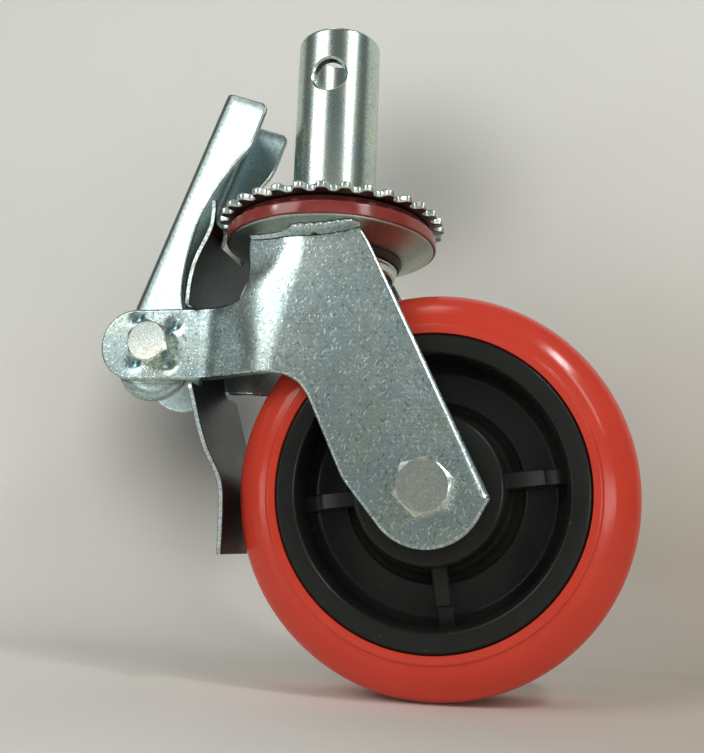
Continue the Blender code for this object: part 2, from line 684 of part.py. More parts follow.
def lever_edge(u):
    """How far the lever's flange reaches across at a station along the lever: head, waist and flared shoulder."""
    stations = [(13.0, 9.5), (16.0, 6.0), (21.0, 1.6), (27.0, -0.8), (35.3, -3.0), (43.9, -4.6), (54.0, -5.8),
                (61.9, -5.5), (68.2, -4.5), (76.7, -2.4), (83.3, -0.5), (88.0, 1.9), (91.0, 3.1), (109.0, 3.0),
                (111.0, 1.6), (112.0, -0.6)]
    u_mm = u / MM
    if u_mm <= stations[0][0]:
        return stations[0][1] * MM
    for (u0, w0), (u1, w1) in zip(stations, stations[1:]):
        if u_mm <= u1:
            return (w0 + (w1 - w0) * (u_mm - u0) / (u1 - u0)) * MM
    return stations[-1][1] * MM


def build_lever():
    """Brake lever: a pressed channel, its web outwards, its two flanges ending in round cams below the pivot."""
    web = -16.8 * MM
    bend = 3.5 * MM
    half = ARM_INNER_Y - GAP
    cam_centre = (-6.8 * MM, 1.4 * MM)
    cam_radius = 15.6 * MM
    web_end = 12.0 * MM
    stations = [112.0, 111.0, 109.0, 100.0, 91.0, 88.0, 83.3, 76.7, 68.2, 61.9, 54.0, 43.9, 35.3, 27.0, 21.0, 16.0,
                12.0]
    cam_steps = 10
    rows = []
    for u in stations:
        rows.append((u * MM, web + bend, lever_edge(u * MM)))
    top_angle = math.asin((6.0 * MM - cam_centre[0]) / cam_radius)
    for i in range(cam_steps + 1):
        angle = top_angle - (top_angle + math.radians(84.0)) * i / cam_steps
        u = cam_centre[0] + cam_radius * math.sin(angle)
        reach = cam_radius * math.cos(angle)
        left = max(cam_centre[1] - reach, web + bend - 0.9 * MM) if u > cam_centre[0] else cam_centre[1] - reach
        rows.append((u, left, cam_centre[1] + reach))
    flange_steps = 3
    bend_steps = 3
    across = Vector((math.cos(LEVER_LEAN), 0.0, -math.sin(LEVER_LEAN)))
    along = Vector((math.sin(LEVER_LEAN), 0.0, math.cos(LEVER_LEAN)))
    points = []
    for u, left, right in rows:
        line = []
        for k in range(flange_steps + 1):
            line.append((right + (left - right) * k / flange_steps, -half))
        for k in range(1, bend_steps + 1):
            angle = math.radians(90.0 * k / bend_steps)
            line.append((left - bend * math.sin(angle), -half + bend * (1.0 - math.cos(angle))))
        mirrored = [(w, -y) for w, y in reversed(line)]
        for w, y in line + mirrored:
            points.append(tuple(across * w + along * u + Vector((0.0, y, 0.0))))
    columns = 2 * (flange_steps + bend_steps + 1)
    faces = []
    for row in range(len(rows) - 1):
        web_here = rows[row + 1][0] >= web_end - 1e-6
        for k in range(columns - 1):
            in_flange = k < flange_steps or k >= columns - 1 - flange_steps
            if in_flange or web_here:
                first = row * columns + k
                faces.append((first, first + columns, first + columns + 1, first + 1))
    lever = sheet("brake_lever", points, faces, LEVER_THICKNESS, 1.0, STEEL)
    lever.location = PIVOT
    lever = replace_with_mesh(lever, STEEL)
    drill = cutter_cylinder("lever_drill", BRAKE_BOLT_RADIUS + GAP, 4.0 * half, PIVOT, "Y", 20)
    lever = boolean(lever, drill, "DIFFERENCE")
    shade(lever, 28.0)
    return lever


def bar_line():
    """Middle line of the brake bar's bow, (x, z) pairs from the prongs' tips down to the shoe's lower edge.

    The prongs keep clear of the toothed plate, the waist stays by the arms, and the shoe follows the tyre.
    """
    prong_y = BAR_HALF_WIDTH - 1.8 * MM
    prong = -math.sqrt((TOOTH_TIP_RADIUS + 1.5 * MM) ** 2 - prong_y ** 2) - BAR_THICKNESS / 2.0
    prongs = [(-0.1, 3.2), (0.2, 0.0), (0.2, -4.0), (-0.2, -8.0), (-2.1, -13.0)]
    arms = [(-47.8, -18.0), (-50.0, -24.0), (-51.2, -31.0), (-51.6, -39.8), (-51.55, -40.3), (-51.5, -42.5),
            (-51.2, -50.0), (-50.4, -60.0), (-48.9, -68.4), (-48.5, -70.8), (-48.3, -71.8)]
    tread = AXLE.x - WHEEL_RADIUS
    upper_shoe = [(-46.0, -78.8), (-43.3, -88.0), (-39.9, -97.0)]
    shoe = [(-7.0, -103.7), (-4.4, -108.4), (-3.3, -112.9), (-2.9, -119.0), (-2.6, -128.0), (-2.6, -136.6)]
    line = [(prong + x * MM, z * MM) for x, z in prongs]
    line += [(x * MM, z * MM) for x, z in arms]
    waist_x = arms[-1][0] * MM
    shoe_x = tread + shoe[0][0] * MM
    usual_run = 12.1 * MM
    for x, z in upper_shoe:
        share = (x * MM - waist_x) / usual_run
        line.append((waist_x + (shoe_x - waist_x) * share, z * MM))
    line += [(tread + x * MM, z * MM) for x, z in shoe]
    return line


def build_bar():
    """Brake bar: one bowed strip, waisted between the arms, with two prongs that straddle the toothed plate."""
    line = bar_line()
    inner_prong = BAR_HALF_WIDTH - 1.8 * MM
    shoulder = ARM_INNER_Y - 1.2 * MM
    waist = ARM_INNER_Y - 3.6 * MM
    prong_rows = 4
    shoulder_rows = (9, 14)
    waist_rows = range(10, 14)
    points = []
    for row, (x, z) in enumerate(line):
        half = BAR_HALF_WIDTH
        if row in shoulder_rows:
            half = shoulder
        if row in waist_rows:
            half = waist
        inner = inner_prong if row <= prong_rows else half * 0.93
        if row == prong_rows:
            inner = BAR_HALF_WIDTH - 3.0 * MM
        columns = [-half, -inner, -inner * 0.5, inner * 0.5, inner, half]
        for y in columns:
            points.append((x, y, z))
    per_row = len(columns)
    faces = []
    for row in range(len(line) - 1):
        for k in range(per_row - 1):
            if row >= prong_rows or k in (0, per_row - 2):
                first = row * per_row + k
                faces.append((first, first + 1, first + per_row + 1, first + per_row))
    bar = sheet("brake_bar", points, faces, BAR_THICKNESS, 0.0, STEEL)
    shade(bar, 28.0)
    return bar


clear_scene()
MODEL = new_collection(MODEL_NAME)
CUTTERS = new_collection(CUTTER_NAME)
STEEL = make_material("zinc_plated_steel", (0.46, 0.50, 0.48), 0.35, 1.0)
RED_TYRE = make_material("red_polyurethane", (0.50, 0.045, 0.03), 0.22, 0.0)
RED_PLASTIC = make_material("red_plastic", (0.28, 0.035, 0.03), 0.25, 0.0)
CORE_BLACK = make_material("black_nylon", (0.014, 0.016, 0.015), 0.42, 0.0)
RUBBER = make_material("black_rubber", (0.012, 0.012, 0.012), 0.6, 0.0)

build_spigot()
build_toothed_plate()
build_kingpin()
build_races()
kingpin_nut = lock_nut("kingpin_nut", 24.0 * MM, 10.0 * MM, KINGPIN_RADIUS)
kingpin_nut.rotation_euler = (math.radians(180.0), 0.0, 0.0)
kingpin_nut.location = (0.0, 0.0, CUP_BOTTOM_Z)

fork = joint_empty("swivel_axis", (0.0, 0.0, 0.0))
fork_pieces = [build_fork_head(), build_dust_ring(), build_seal()]
for label, side in (("near", -1.0), ("far", 1.0)):
    fork_pieces.append(build_leg("leg_" + label, side))
    fork_pieces.append(build_weld("leg_weld_" + label, side))
fork_pieces.append(hex_bolt("axle_bolt", 19.0 * MM, 7.5 * MM, AXLE_RADIUS, 2.0 * LEG_OUTER_Y + 14.0 * MM, AXLE,
                           LEG_OUTER_Y))
fork_pieces.append(far_nut("axle_nut", 19.0 * MM, 12.0 * MM, AXLE_RADIUS, AXLE, LEG_OUTER_Y))
fork_pieces.append(build_sleeve("axle_sleeve", AXLE_RADIUS + GAP, AXLE_RADIUS + 2.5 * MM, LEG_INNER_Y - GAP, AXLE))
fork_pieces.append(hex_bolt("brake_bolt", 16.0 * MM, 6.4 * MM, BRAKE_BOLT_RADIUS, 2.0 * ARM_OUTER_Y + 12.1 * MM, PIVOT,
                           ARM_OUTER_Y))
fork_pieces.append(far_nut("brake_nut", 16.0 * MM, 10.0 * MM, BRAKE_BOLT_RADIUS, PIVOT, ARM_OUTER_Y))
fork_pieces.append(build_sleeve("brake_sleeve", BRAKE_BOLT_RADIUS + GAP, 8.0 * MM,
                                ARM_INNER_Y - 2.0 * GAP - LEVER_THICKNESS, PIVOT))

wheel = joint_empty("wheel_axis", AXLE)
hang_on(wheel, build_tyre(), build_core(), build_bearing("bearing_near", -1.0), build_bearing("bearing_far", 1.0))
lever_joint = joint_empty("lever_axis", PIVOT)
hang_on(lever_joint, build_lever())
hang_on(fork, wheel, lever_joint, build_bar(), *fork_pieces)
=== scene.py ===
import math

import bmesh
import bpy
import numpy as np
from mathutils import Matrix, Vector
from mathutils.geometry import delaunay_2d_cdt


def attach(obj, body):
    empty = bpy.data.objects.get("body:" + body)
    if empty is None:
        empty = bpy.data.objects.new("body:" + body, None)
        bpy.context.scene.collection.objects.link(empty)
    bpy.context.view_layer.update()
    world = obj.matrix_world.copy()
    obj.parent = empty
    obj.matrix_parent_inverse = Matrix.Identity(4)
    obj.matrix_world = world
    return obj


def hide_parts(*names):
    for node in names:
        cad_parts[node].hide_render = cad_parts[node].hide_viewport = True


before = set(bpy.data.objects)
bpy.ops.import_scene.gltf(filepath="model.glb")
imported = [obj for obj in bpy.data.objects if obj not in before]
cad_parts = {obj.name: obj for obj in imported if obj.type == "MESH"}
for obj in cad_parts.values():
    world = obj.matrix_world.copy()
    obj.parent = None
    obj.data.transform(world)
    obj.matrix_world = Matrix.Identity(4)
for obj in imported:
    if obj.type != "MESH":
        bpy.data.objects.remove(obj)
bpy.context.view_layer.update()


# Zinc plating
# Every steel piece is zinc plated: a cold grey metal, mottled by its crystals, with short fine scratches.
# One node group makes the mottling and the scratches, and each steel material sets its own amounts.

def feed(tree, node, inputs):
    """Sets a node's inputs by name or number, each from a node, an output or a plain value."""
    for label, source in inputs:
        socket = node.inputs[label]
        if isinstance(source, bpy.types.Node):
            source = next(output for output in source.outputs if output.enabled)
        if isinstance(source, bpy.types.NodeSocket):
            tree.links.new(source, socket)
        elif socket.type == "RGBA":
            socket.default_value = (*source, 1.0)
        else:
            socket.default_value = source


def add_node(tree, kind, inputs=(), **settings):
    """One shader node with its inputs and settings."""
    made = tree.nodes.new("ShaderNode" + kind)
    for name, value in settings.items():
        setattr(made, name, value)
    feed(tree, made, inputs)
    return made


def object_place(tree):
    """The place in object coordinates."""
    return add_node(tree, "TexCoord").outputs["Object"]


def noise(tree, place, scale, detail, roughness=0.5):
    """A soft noise from 0 to 1."""
    return add_node(tree, "TexNoise", [("Vector", place), ("Scale", scale), ("Detail", detail),
                                       ("Roughness", roughness)])


def cells_of(tree, place, scale):
    """A field of cells, each with its own place and random colour."""
    return add_node(tree, "TexVoronoi", [("Vector", place), ("Scale", scale)])


def maths(tree, operation, *values):
    """A sum on numbers or outputs."""
    return add_node(tree, "Math", enumerate(values), operation=operation)


def vector(tree, operation, first, second=None):
    """A sum on vectors. The second part of a scale is a number, and a length has none."""
    inputs = [(0, first)]
    if second is not None:
        inputs.append(("Scale" if operation == "SCALE" else 1, second))
    return add_node(tree, "VectorMath", inputs, operation=operation)


def spread(tree, value, given, wanted=(0.0, 1.0), smooth=False):
    """A value carried from a given range to the wanted one, and held at its ends."""
    labels = ("Value", "From Min", "From Max", "To Min", "To Max")
    return add_node(tree, "MapRange", zip(labels, (value, *given, *wanted)),
                    interpolation_type="SMOOTHSTEP" if smooth else "LINEAR")


def mixed(tree, share, first, second, way="MIX"):
    """A colour between two, or the first tinted by the second."""
    return add_node(tree, "Mix", [("Factor", share), (6, first), (7, second)], data_type="RGBA",
                    blend_type=way)


def bumped(tree, height, strength, distance):
    """A normal leaned by a height."""
    return add_node(tree, "Bump", [("Height", height), ("Strength", strength), ("Distance", distance)])


def make_zinc_group():
    """Mottling is two noises and a cell pattern. A scratch is a short light or dark line in each cell, laid
    in the surface: the place and a random heading lose their part along the normal, and the place is split
    along the heading and across it."""
    group = bpy.data.node_groups.new("zinc_plating", "ShaderNodeTree")
    for way, kind, labels in (("INPUT", "Color", ["Tone"]),
                              ("INPUT", "Float", ["Roughness", "Mottle", "Scratches", "Relief"]),
                              ("OUTPUT", "Color", ["Color"]), ("OUTPUT", "Float", ["Roughness"]),
                              ("OUTPUT", "Vector", ["Normal"])):
        for label in labels:
            group.interface.new_socket(label, in_out=way, socket_type="NodeSocket" + kind)
    given = group.nodes.new("NodeGroupInput").outputs
    put = group.nodes.new("NodeGroupOutput")
    place = object_place(group)
    facing = add_node(group, "TexCoord").outputs["Normal"]
    cloud = noise(group, place, 75.0, 5.0, 0.7)
    grain = noise(group, place, 800.0, 4.0, 0.75)
    cell_tone = add_node(group, "SeparateColor", [("Color", cells_of(group, place, 1400.0).outputs["Color"])])
    crystal = add_node(group, "Mix", [("Factor", 0.6), (2, cell_tone.outputs["Red"]), (3, grain)],
                       data_type="FLOAT")
    centred = maths(group, "SUBTRACT", maths(group, "ADD", crystal, cloud), 1.0)
    swing = maths(group, "MULTIPLY", centred, given["Mottle"])
    shaded = vector(group, "SCALE", given["Tone"], maths(group, "ADD", swing, 1.0))
    hue = spread(group, noise(group, place, 62.0, 2.0), (0.38, 0.62), smooth=True)
    tinted = vector(group, "MULTIPLY", shaded, mixed(group, hue, (0.93, 0.98, 1.02), (1.02, 1.02, 0.97)))
    scratch = 0.0
    for scale, width, length, rarity in ((170.0, 0.00012, 0.0022, 0.70), (330.0, 0.00014, 0.0012, 0.35),
                                         (560.0, 0.00013, 0.0008, 0.30)):
        field = cells_of(group, place, scale)
        local = vector(group, "SUBTRACT", place, field.outputs["Position"])
        heading = vector(group, "SUBTRACT", field.outputs["Color"], (0.5, 0.5, 0.5))
        local, heading = [vector(group, "SUBTRACT", arrow, vector(group, "PROJECT", arrow, facing))
                          for arrow in (local, heading)]
        run = vector(group, "PROJECT", local, heading)
        across = vector(group, "LENGTH", vector(group, "SUBTRACT", local, run))
        thin = spread(group, across, (width * 1.6, width * 0.5), smooth=True)
        short = spread(group, vector(group, "LENGTH", run), (length, length * 0.4), smooth=True)
        chance = add_node(group, "SeparateColor", [("Color", field.outputs["Color"])]).outputs
        picked = maths(group, "GREATER_THAN", chance["Green"], rarity)
        force = spread(group, chance["Blue"], (0.0, 1.0), (-0.55, 1.0))
        stroke = maths(group, "MULTIPLY", maths(group, "MULTIPLY", thin, short), picked)
        scratch = maths(group, "MULTIPLY_ADD", stroke, force, scratch)
    scratch = maths(group, "MULTIPLY", scratch, given["Scratches"])
    scored = vector(group, "SCALE", tinted, maths(group, "ADD", scratch, 1.0))
    finish = maths(group, "SUBTRACT", given["Roughness"], maths(group, "MULTIPLY", swing, 0.22))
    relief = bumped(group, maths(group, "SUBTRACT", crystal, scratch), given["Relief"], 0.00006)
    feed(group, put, [("Color", scored), ("Roughness", finish), ("Normal", relief)])
    return group


zinc_plating = make_zinc_group()


def plain_material(name, colour, roughness, metallic=0.0):
    """A Principled material with its colour, roughness and metallic set on the shader itself."""
    material = bpy.data.materials.new(name)
    material.use_nodes = True
    tree = material.node_tree
    shader = tree.nodes["Principled BSDF"]
    feed(tree, shader, [("Base Color", colour), ("Roughness", roughness), ("Metallic", metallic)])
    return material, tree, shader


def zinc(name, tone, roughness, mottle, scratches, relief):
    """A zinc plated steel with its own tone, roughness, mottling, scratches and height of its crystals."""
    material, tree, shader = plain_material(name, tone, roughness, 1.0)
    plating = tree.nodes.new("ShaderNodeGroup")
    plating.node_tree = zinc_plating
    feed(tree, plating, enumerate((tone, roughness, mottle, scratches, relief)))
    feed(tree, shader, zip(("Base Color", "Roughness", "Normal"), plating.outputs))
    return material


pressed_zinc = zinc("zinc_on_pressed_sheet", (0.46, 0.555, 0.53), 0.28, 1.2, 1.7, 0.14)
bright_zinc = zinc("zinc_on_small_parts", (0.60, 0.65, 0.60), 0.27, 0.5, 0.15, 0.05)
sheared_zinc = zinc("zinc_on_sheared_edges", (0.50, 0.55, 0.52), 0.36, 1.6, 0.0, 0.3)


# Spigot
# A steel tube that goes up into the scaffold leg, drilled across for its locking pin, its top rounded off.
# Each half of the wall is one sheet of points, drawn from the hole's edge to the border, inside and out.

def grid_quads(rows, columns, wrap_rows=False, wrap_columns=False):
    """Quads of a grid of points, joined along both parameters, and round the end if wrapped."""
    row = np.arange(rows if wrap_rows else rows - 1)
    column = np.arange(columns if wrap_columns else columns - 1)
    i, j = np.meshgrid(row, column, indexing="ij")
    i2 = (i + 1) % rows
    j2 = (j + 1) % columns
    corners = [i * columns + j, i * columns + j2, i2 * columns + j2, i2 * columns + j]
    return np.stack(corners, axis=-1).reshape(-1, 4)


def link_piece(name, data):
    """An object that holds a mesh, a lamp or a camera."""
    piece = bpy.data.objects.new(name, data)
    bpy.context.scene.collection.objects.link(piece)
    return piece


def make_piece(name, shells, materials, body, nodes, hard=35.0):
    """One mesh from shells of (points, faces, and a material's number if not the first): doubles merged,
    faces turned outwards, edges over hard kept sharp."""
    mesh = bpy.data.meshes.new(name)
    grids = [np.reshape(shell[0], (-1, 3)) for shell in shells]
    points = np.concatenate(grids)
    starts = np.cumsum([0] + [len(grid) for grid in grids])
    faces = [shell[1] + start for shell, start in zip(shells, starts)]
    chosen = np.concatenate([np.full(len(shell[1]), shell[2] if len(shell) > 2 else 0) for shell in shells])
    sides = np.concatenate([np.full(len(f), f.shape[1]) for f in faces])
    corners = np.concatenate([f.ravel() for f in faces])
    mesh.vertices.add(len(points))
    mesh.vertices.foreach_set("co", points.astype(np.float32).ravel())
    mesh.loops.add(len(corners))
    mesh.loops.foreach_set("vertex_index", corners.astype(np.int32))
    mesh.polygons.add(len(sides))
    mesh.polygons.foreach_set("loop_start", (np.cumsum(sides) - sides).astype(np.int32))
    for material in materials if isinstance(materials, list) else [materials]:
        mesh.materials.append(material)
    mesh.polygons.foreach_set("material_index", chosen.astype(np.int32))
    mesh.update(calc_edges=True)
    mesh.validate()
    work = bmesh.new()
    work.from_mesh(mesh)
    merge_within = 0.000004
    bmesh.ops.remove_doubles(work, verts=work.verts, dist=merge_within)
    bmesh.ops.recalc_face_normals(work, faces=work.faces)
    work.to_mesh(mesh)
    work.free()
    mesh.shade_smooth()
    mesh.set_sharp_from_angle(angle=math.radians(hard))
    piece = link_piece(name, mesh)
    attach(piece, body)
    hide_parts(*nodes)
    return piece


def full_turn(count):
    """Angles round a circle, as a column."""
    return np.linspace(0.0, 2 * np.pi, count, endpoint=False)[:, None]


def ringed(angle, radius, height):
    """Points round the Z axis, from angles and from radii and heights in millimetres."""
    points = np.broadcast_arrays(np.cos(angle) * radius, np.sin(angle) * radius, height)
    return np.stack(points, axis=-1) * 0.001


tube_outer, tube_inner, tube_foot, lip_from = 17.5, 13.5, -3.0, 79.8


def spigot_half(side):
    """Half the tube wall. A ring of points round the hole runs out to the wall's border on the outer skin,
    and the same ring, carried through the hole, runs out again on the inner skin."""
    hole, chamfer, hole_z = 7.0, 0.8, 60.0
    each = 48
    ramp = np.linspace(-1.0, 1.0, each, endpoint=False)
    flat = np.full(each, 1.0)
    border_turn = np.concatenate([flat, -ramp, -flat, ramp]) * np.pi / 2
    level = np.concatenate([ramp, flat, -ramp, -flat])
    border_z = (tube_foot + lip_from) / 2 + level * (lip_from - tube_foot) / 2
    angle = np.linspace(-np.pi / 4, 2 * np.pi - np.pi / 4, 4 * each, endpoint=False)
    share = (np.linspace(0.0, 1.0, 30) ** 1.5)[:, None]

    def skin(radius, edge):
        turn = np.arcsin(edge * np.cos(angle) / radius)
        z = hole_z + edge * np.sin(angle)
        turn = turn + (border_turn - turn) * share
        z = z + (border_z - z) * share
        return np.stack([radius * np.sin(turn), -side * radius * np.cos(turn), z], axis=-1)

    outside = skin(tube_outer, hole + chamfer)
    inside = skin(tube_inner, hole)
    cone = skin(tube_outer - chamfer, hole)[0:1]
    points = np.concatenate([inside[::-1], cone, outside]) * 0.001
    return points, grid_quads(points.shape[0], points.shape[1], False, True)


top_edge = np.array([(tube_outer, lip_from), (17.42, 80.3), (17.1, 80.75), (16.6, 81.0), (14.1, 81.0),
                     (13.6, 80.7), (tube_inner, lip_from)])
top_points = 96
top_angle = full_turn(top_points)
lip = (ringed(top_angle, top_edge[:, 0], top_edge[:, 1]), grid_quads(top_points, len(top_edge), True, False))
foot = (ringed(top_angle, (tube_outer, tube_inner), tube_foot), grid_quads(top_points, 2, True, False))
drawn_zinc = zinc("zinc_on_drawn_tube", (0.545, 0.62, 0.565), 0.27, 0.6, 0.2, 0.12)
make_piece("spigot_tube", [spigot_half(1.0), spigot_half(-1.0), lip, foot], drawn_zinc, "spigot_body",
           ["spigot"])


# Toothed plate
# A stamped steel disc on the spigot's foot. The brake bar's two prongs press on its teeth to stop the swivel.
# The rim's radius swells and sinks as a squared-off wave, and its section is carried round the plate.

def closed_grid(points):
    """A grid of points joined round both parameters."""
    return points, grid_quads(points.shape[0], points.shape[1], True, True)


def overlay(material, share, colour, way="MIX"):
    """Lays a colour over the one a material's shader has now, as far as a share says."""
    tree = material.node_tree
    shader = tree.nodes["Principled BSDF"]
    under = shader.inputs["Base Color"].links[0].from_socket
    feed(tree, shader, [("Base Color", mixed(tree, share, under, colour, way))])


teeth, points_a_tooth, first_tooth, squareness = 32, 28, math.radians(8.4), 1.9
tooth_angle = full_turn(teeth * points_a_tooth)
wave = np.tanh(squareness * np.cos(teeth * (tooth_angle - first_tooth))) / math.tanh(squareness)
pitch_radius, half_tooth = 45.1, 1.8
rim = pitch_radius + half_tooth * wave
inset = np.array([1.1, 0.5, 0.15, 0.0, 0.0, 0.0, 0.12, 0.4, 0.8])
level = np.array([0.0, -0.1, -0.4, -0.9, -1.5, -2.2, -2.65, -2.9, -3.0])
flat_radius = np.array([42.6, 38.0, 28.0, 17.9])
plate_points = np.concatenate([ringed(tooth_angle, flat_radius[::-1], level[0]),
                               ringed(tooth_angle, rim - inset, level),
                               ringed(tooth_angle, flat_radius, level[-1])], axis=1)
stamped_zinc = zinc("zinc_on_toothed_plate", (0.58, 0.64, 0.59), 0.33, 0.5, 0.1, 0.04)
# Painted shade with a painted red reflection: the plate's underside and lowest edge are darkened to a warm
# dark grey.
tree = stamped_zinc.node_tree
height = add_node(tree, "SeparateXYZ", [("Vector", object_place(tree))]).outputs["Z"]
overlay(stamped_zinc, spread(tree, height, (-0.0027, -0.00295)), (0.20, 0.15, 0.14))
make_piece("toothed_disc", [closed_grid(plate_points)], stamped_zinc, "spigot_body", ["toothed_plate"],
           hard=50.0)


# Swivel head
# The kingpin's collar, races and ball rings are shut in between the toothed plate and the fork head.
# The lower cup is pressed from sheet and closes the swivel from below; a lock nut holds it on the kingpin.

def eased(corners, cut, steps=4):
    """A closed outline whose corners are cut back by a length each and rounded by a parabola."""
    here = np.asarray(corners, float)
    back = np.roll(here, 1, 0) - here
    ahead = np.roll(here, -1, 0) - here
    back_length = np.linalg.norm(back, axis=1)[:, None]
    ahead_length = np.linalg.norm(ahead, axis=1)[:, None]
    most = 0.48
    reach = np.broadcast_to(cut, len(here)).astype(float)[:, None]
    reach = np.minimum(reach, most * np.minimum(back_length, ahead_length))
    start = here + back / back_length * reach
    end = here + ahead / ahead_length * reach
    t = np.linspace(0.0, 1.0, steps + 1)[None, :, None]
    bend = (1 - t) ** 2 * start[:, None] + 2 * t * (1 - t) * here[:, None] + t ** 2 * end[:, None]
    return bend.reshape(-1, 2)


def spun(profile, count=144, centre=None):
    """Surface of revolution: every (radius, height) of a closed profile is carried round the Z axis, or round
    a line along Y through a centre (x, z)."""
    radius, height = np.asarray(profile, float).T
    if centre is None:
        return closed_grid(ringed(full_turn(count), radius, height))
    return along_y(full_turn(count), radius, height, centre)


def along_y(angle, radius, level, centre, start=0.0, direction=1.0):
    """Places (angle, radius, level) as a closed grid about a line along Y, its level counted from start."""
    across = centre[0] + radius * np.cos(angle)
    points = np.broadcast_arrays(across, start + direction * level, centre[1] + radius * np.sin(angle))
    return closed_grid(np.stack(points, axis=-1) * 0.001)


for hidden in ("kingpin", "upper_race", "upper_ball_ring", "lower_ball_ring"):
    for material_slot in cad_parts[hidden].material_slots:
        material_slot.material = bright_zinc

cup_profile = eased([(24.5, -20.0), (27.5, -20.0), (27.5, -20.9), (26.7, -21.4), (26.7, -23.8), (25.7, -24.6),
                     (8.8, -24.6), (8.8, -21.2), (24.1, -21.2)],
                    [0.3, 0.4, 0.3, 0.3, 0.5, 0.8, 0.1, 0.1, 0.4])
make_piece("lower_cup_pressing", [spun(cup_profile)], bright_zinc, "spigot_body", ["lower_cup"])


# Fork head
# A round steel pressing over the swivel, dished so that its rim stands up under the dust ring.
# It is a turned section with soft bends; the legs are welded to its underside.

dish_profile = eased([(9.0, -13.3), (30.0, -13.3), (34.5, -11.5), (39.5, -9.0), (42.0, -8.7), (42.5, -9.2),
                      (42.5, -11.7), (42.0, -12.2), (40.0, -12.7), (36.0, -14.3), (32.0, -16.2),
                      (30.0, -16.8), (9.0, -16.8)],
                     [0.1, 1.5, 1.5, 1.0, 0.4, 0.3, 0.3, 0.3, 1.0, 2.0, 1.0, 1.0, 0.1], 5)
dished_zinc = zinc("zinc_on_fork_head", (0.46, 0.49, 0.45), 0.38, 0.5, 0.3, 0.06)
make_piece("fork_head_pressing", [spun(dish_profile, 180)], dished_zinc, "fork", ["fork_head"])


# Dust ring
# A red plastic ring that shuts the swivel's gap, pushed over the fork head's rim, its moulded face glossy.
# It is a turned section: a narrow neck under the teeth, a rounded step, and the glossy band round the rim.

red_plastic, tree, shader = plain_material("red_moulded_ring", (0.24, 0.03, 0.025), 0.16)
place = object_place(tree)
cloud = noise(tree, place, 160.0, 3.0)
height = add_node(tree, "SeparateXYZ", [("Vector", place)]).outputs["Z"]
feed(tree, shader, [("Base Color", mixed(tree, cloud, (0.22, 0.036, 0.029), (0.30, 0.048, 0.039))),
                    ("Normal", bumped(tree, cloud, 0.25, 0.0001))])
# Painted shade: the neck under the teeth, above the rounded step, is darkened to a deep red.
overlay(red_plastic, spread(tree, height, (-0.0066, -0.0060)), (0.085, 0.016, 0.014))
ring_profile = eased([(36.5, -3.4), (40.9, -3.4), (41.3, -6.0), (42.9, -6.25), (43.45, -6.9), (43.55, -11.3),
                      (42.8, -11.5), (42.8, -8.4), (36.5, -8.4)],
                     [0.1, 0.3, 0.6, 0.4, 0.4, 0.3, 0.2, 0.2, 0.1])
make_piece("dust_ring_moulding", [spun(ring_profile, 180)], red_plastic, "fork", ["dust_ring"])


# Swivel seal
# A black rubber ring between the fork head and the lower cup, seen edge-on between the legs.
# It is a turned section with one soft lip.

black_rubber, tree, shader = plain_material("black_seal_rubber", (0.012, 0.012, 0.012), 0.55)
grain = noise(tree, object_place(tree), 1400.0, 3.0)
feed(tree, shader, [("Roughness", spread(tree, grain, (0.0, 1.0), (0.45, 0.65))),
                    ("Normal", bumped(tree, grain, 0.4, 0.00005))])
seal_profile = eased([(22.5, -16.8), (29.4, -16.8), (29.4, -17.8), (28.2, -19.7), (22.5, -19.7)],
                     [0.1, 0.3, 0.5, 0.4, 0.1])
make_piece("seal_ring", [spun(seal_profile)], black_rubber, "fork", ["swivel_seal"])


# Fork legs
# Two legs pressed from 4 mm sheet, mirror images. Each runs down to the axle and folds in to the brake arm.
# A flat blank is cut into small triangles inside its outline, and the fold pushes its points to the middle.

def blank(outline, holes, pitch):
    """A flat blank: its outline and holes kept as they are, filled with a regular net of points that keeps
    clear of them, in triangles."""
    loops = [np.asarray(loop, float) for loop in (outline, *holes)]
    starts = np.cumsum([0] + [len(loop) for loop in loops])
    turns = [np.arange(len(loop)) for loop in loops]
    edges = np.concatenate([np.stack([turn, (turn + 1) % len(turn)], 1) + start
                            for turn, start in zip(turns, starts)])
    ring = np.concatenate(loops)
    low, high = ring.min(0), ring.max(0)
    across = np.arange(low[0], high[0], pitch)
    along = np.arange(low[1], high[1], pitch * 0.866)
    net = np.stack(np.meshgrid(across, along), axis=-1)
    net[1::2, :, 0] += pitch / 2
    net = net.reshape(-1, 2)
    a, b = ring[edges[:, 0]], ring[edges[:, 1]]

    def inside(points):
        above = (a[:, 1] > points[:, None, 1]) != (b[:, 1] > points[:, None, 1])
        rise = np.where(b[:, 1] == a[:, 1], 1.0, b[:, 1] - a[:, 1])
        cross = a[:, 0] + (points[:, None, 1] - a[:, 1]) / rise * (b[:, 0] - a[:, 0])
        return (above & (points[:, None, 0] < cross)).sum(1) % 2 == 1

    run = b - a
    share = ((net[:, None] - a) * run).sum(-1) / (run ** 2).sum(-1)
    nearest = a + np.clip(share, 0.0, 1.0)[..., None] * run
    gap = np.linalg.norm(net[:, None] - nearest, axis=-1).min(1)
    net = net[inside(net) & (gap > pitch / 2)]
    points = np.concatenate([ring, net])
    made = delaunay_2d_cdt([Vector(p) for p in points], edges.tolist(), [], 0, 1e-7)
    flat = np.array([tuple(p) for p in made[0]])
    triangles = np.array(made[2])
    return flat, triangles[inside(flat[triangles].mean(1))]


def arc_points(centre, radius, start, end, steps):
    """Points along an arc, angles in degrees."""
    angle = np.radians(np.linspace(start, end, steps))
    return np.stack([centre[0] + radius * np.cos(angle), centre[1] + radius * np.sin(angle)], axis=1)


def round_hole(centre, radius, steps):
    """A circle's outline in a blank."""
    return arc_points(centre, radius, 0.0, 360.0, steps + 1)[:-1]


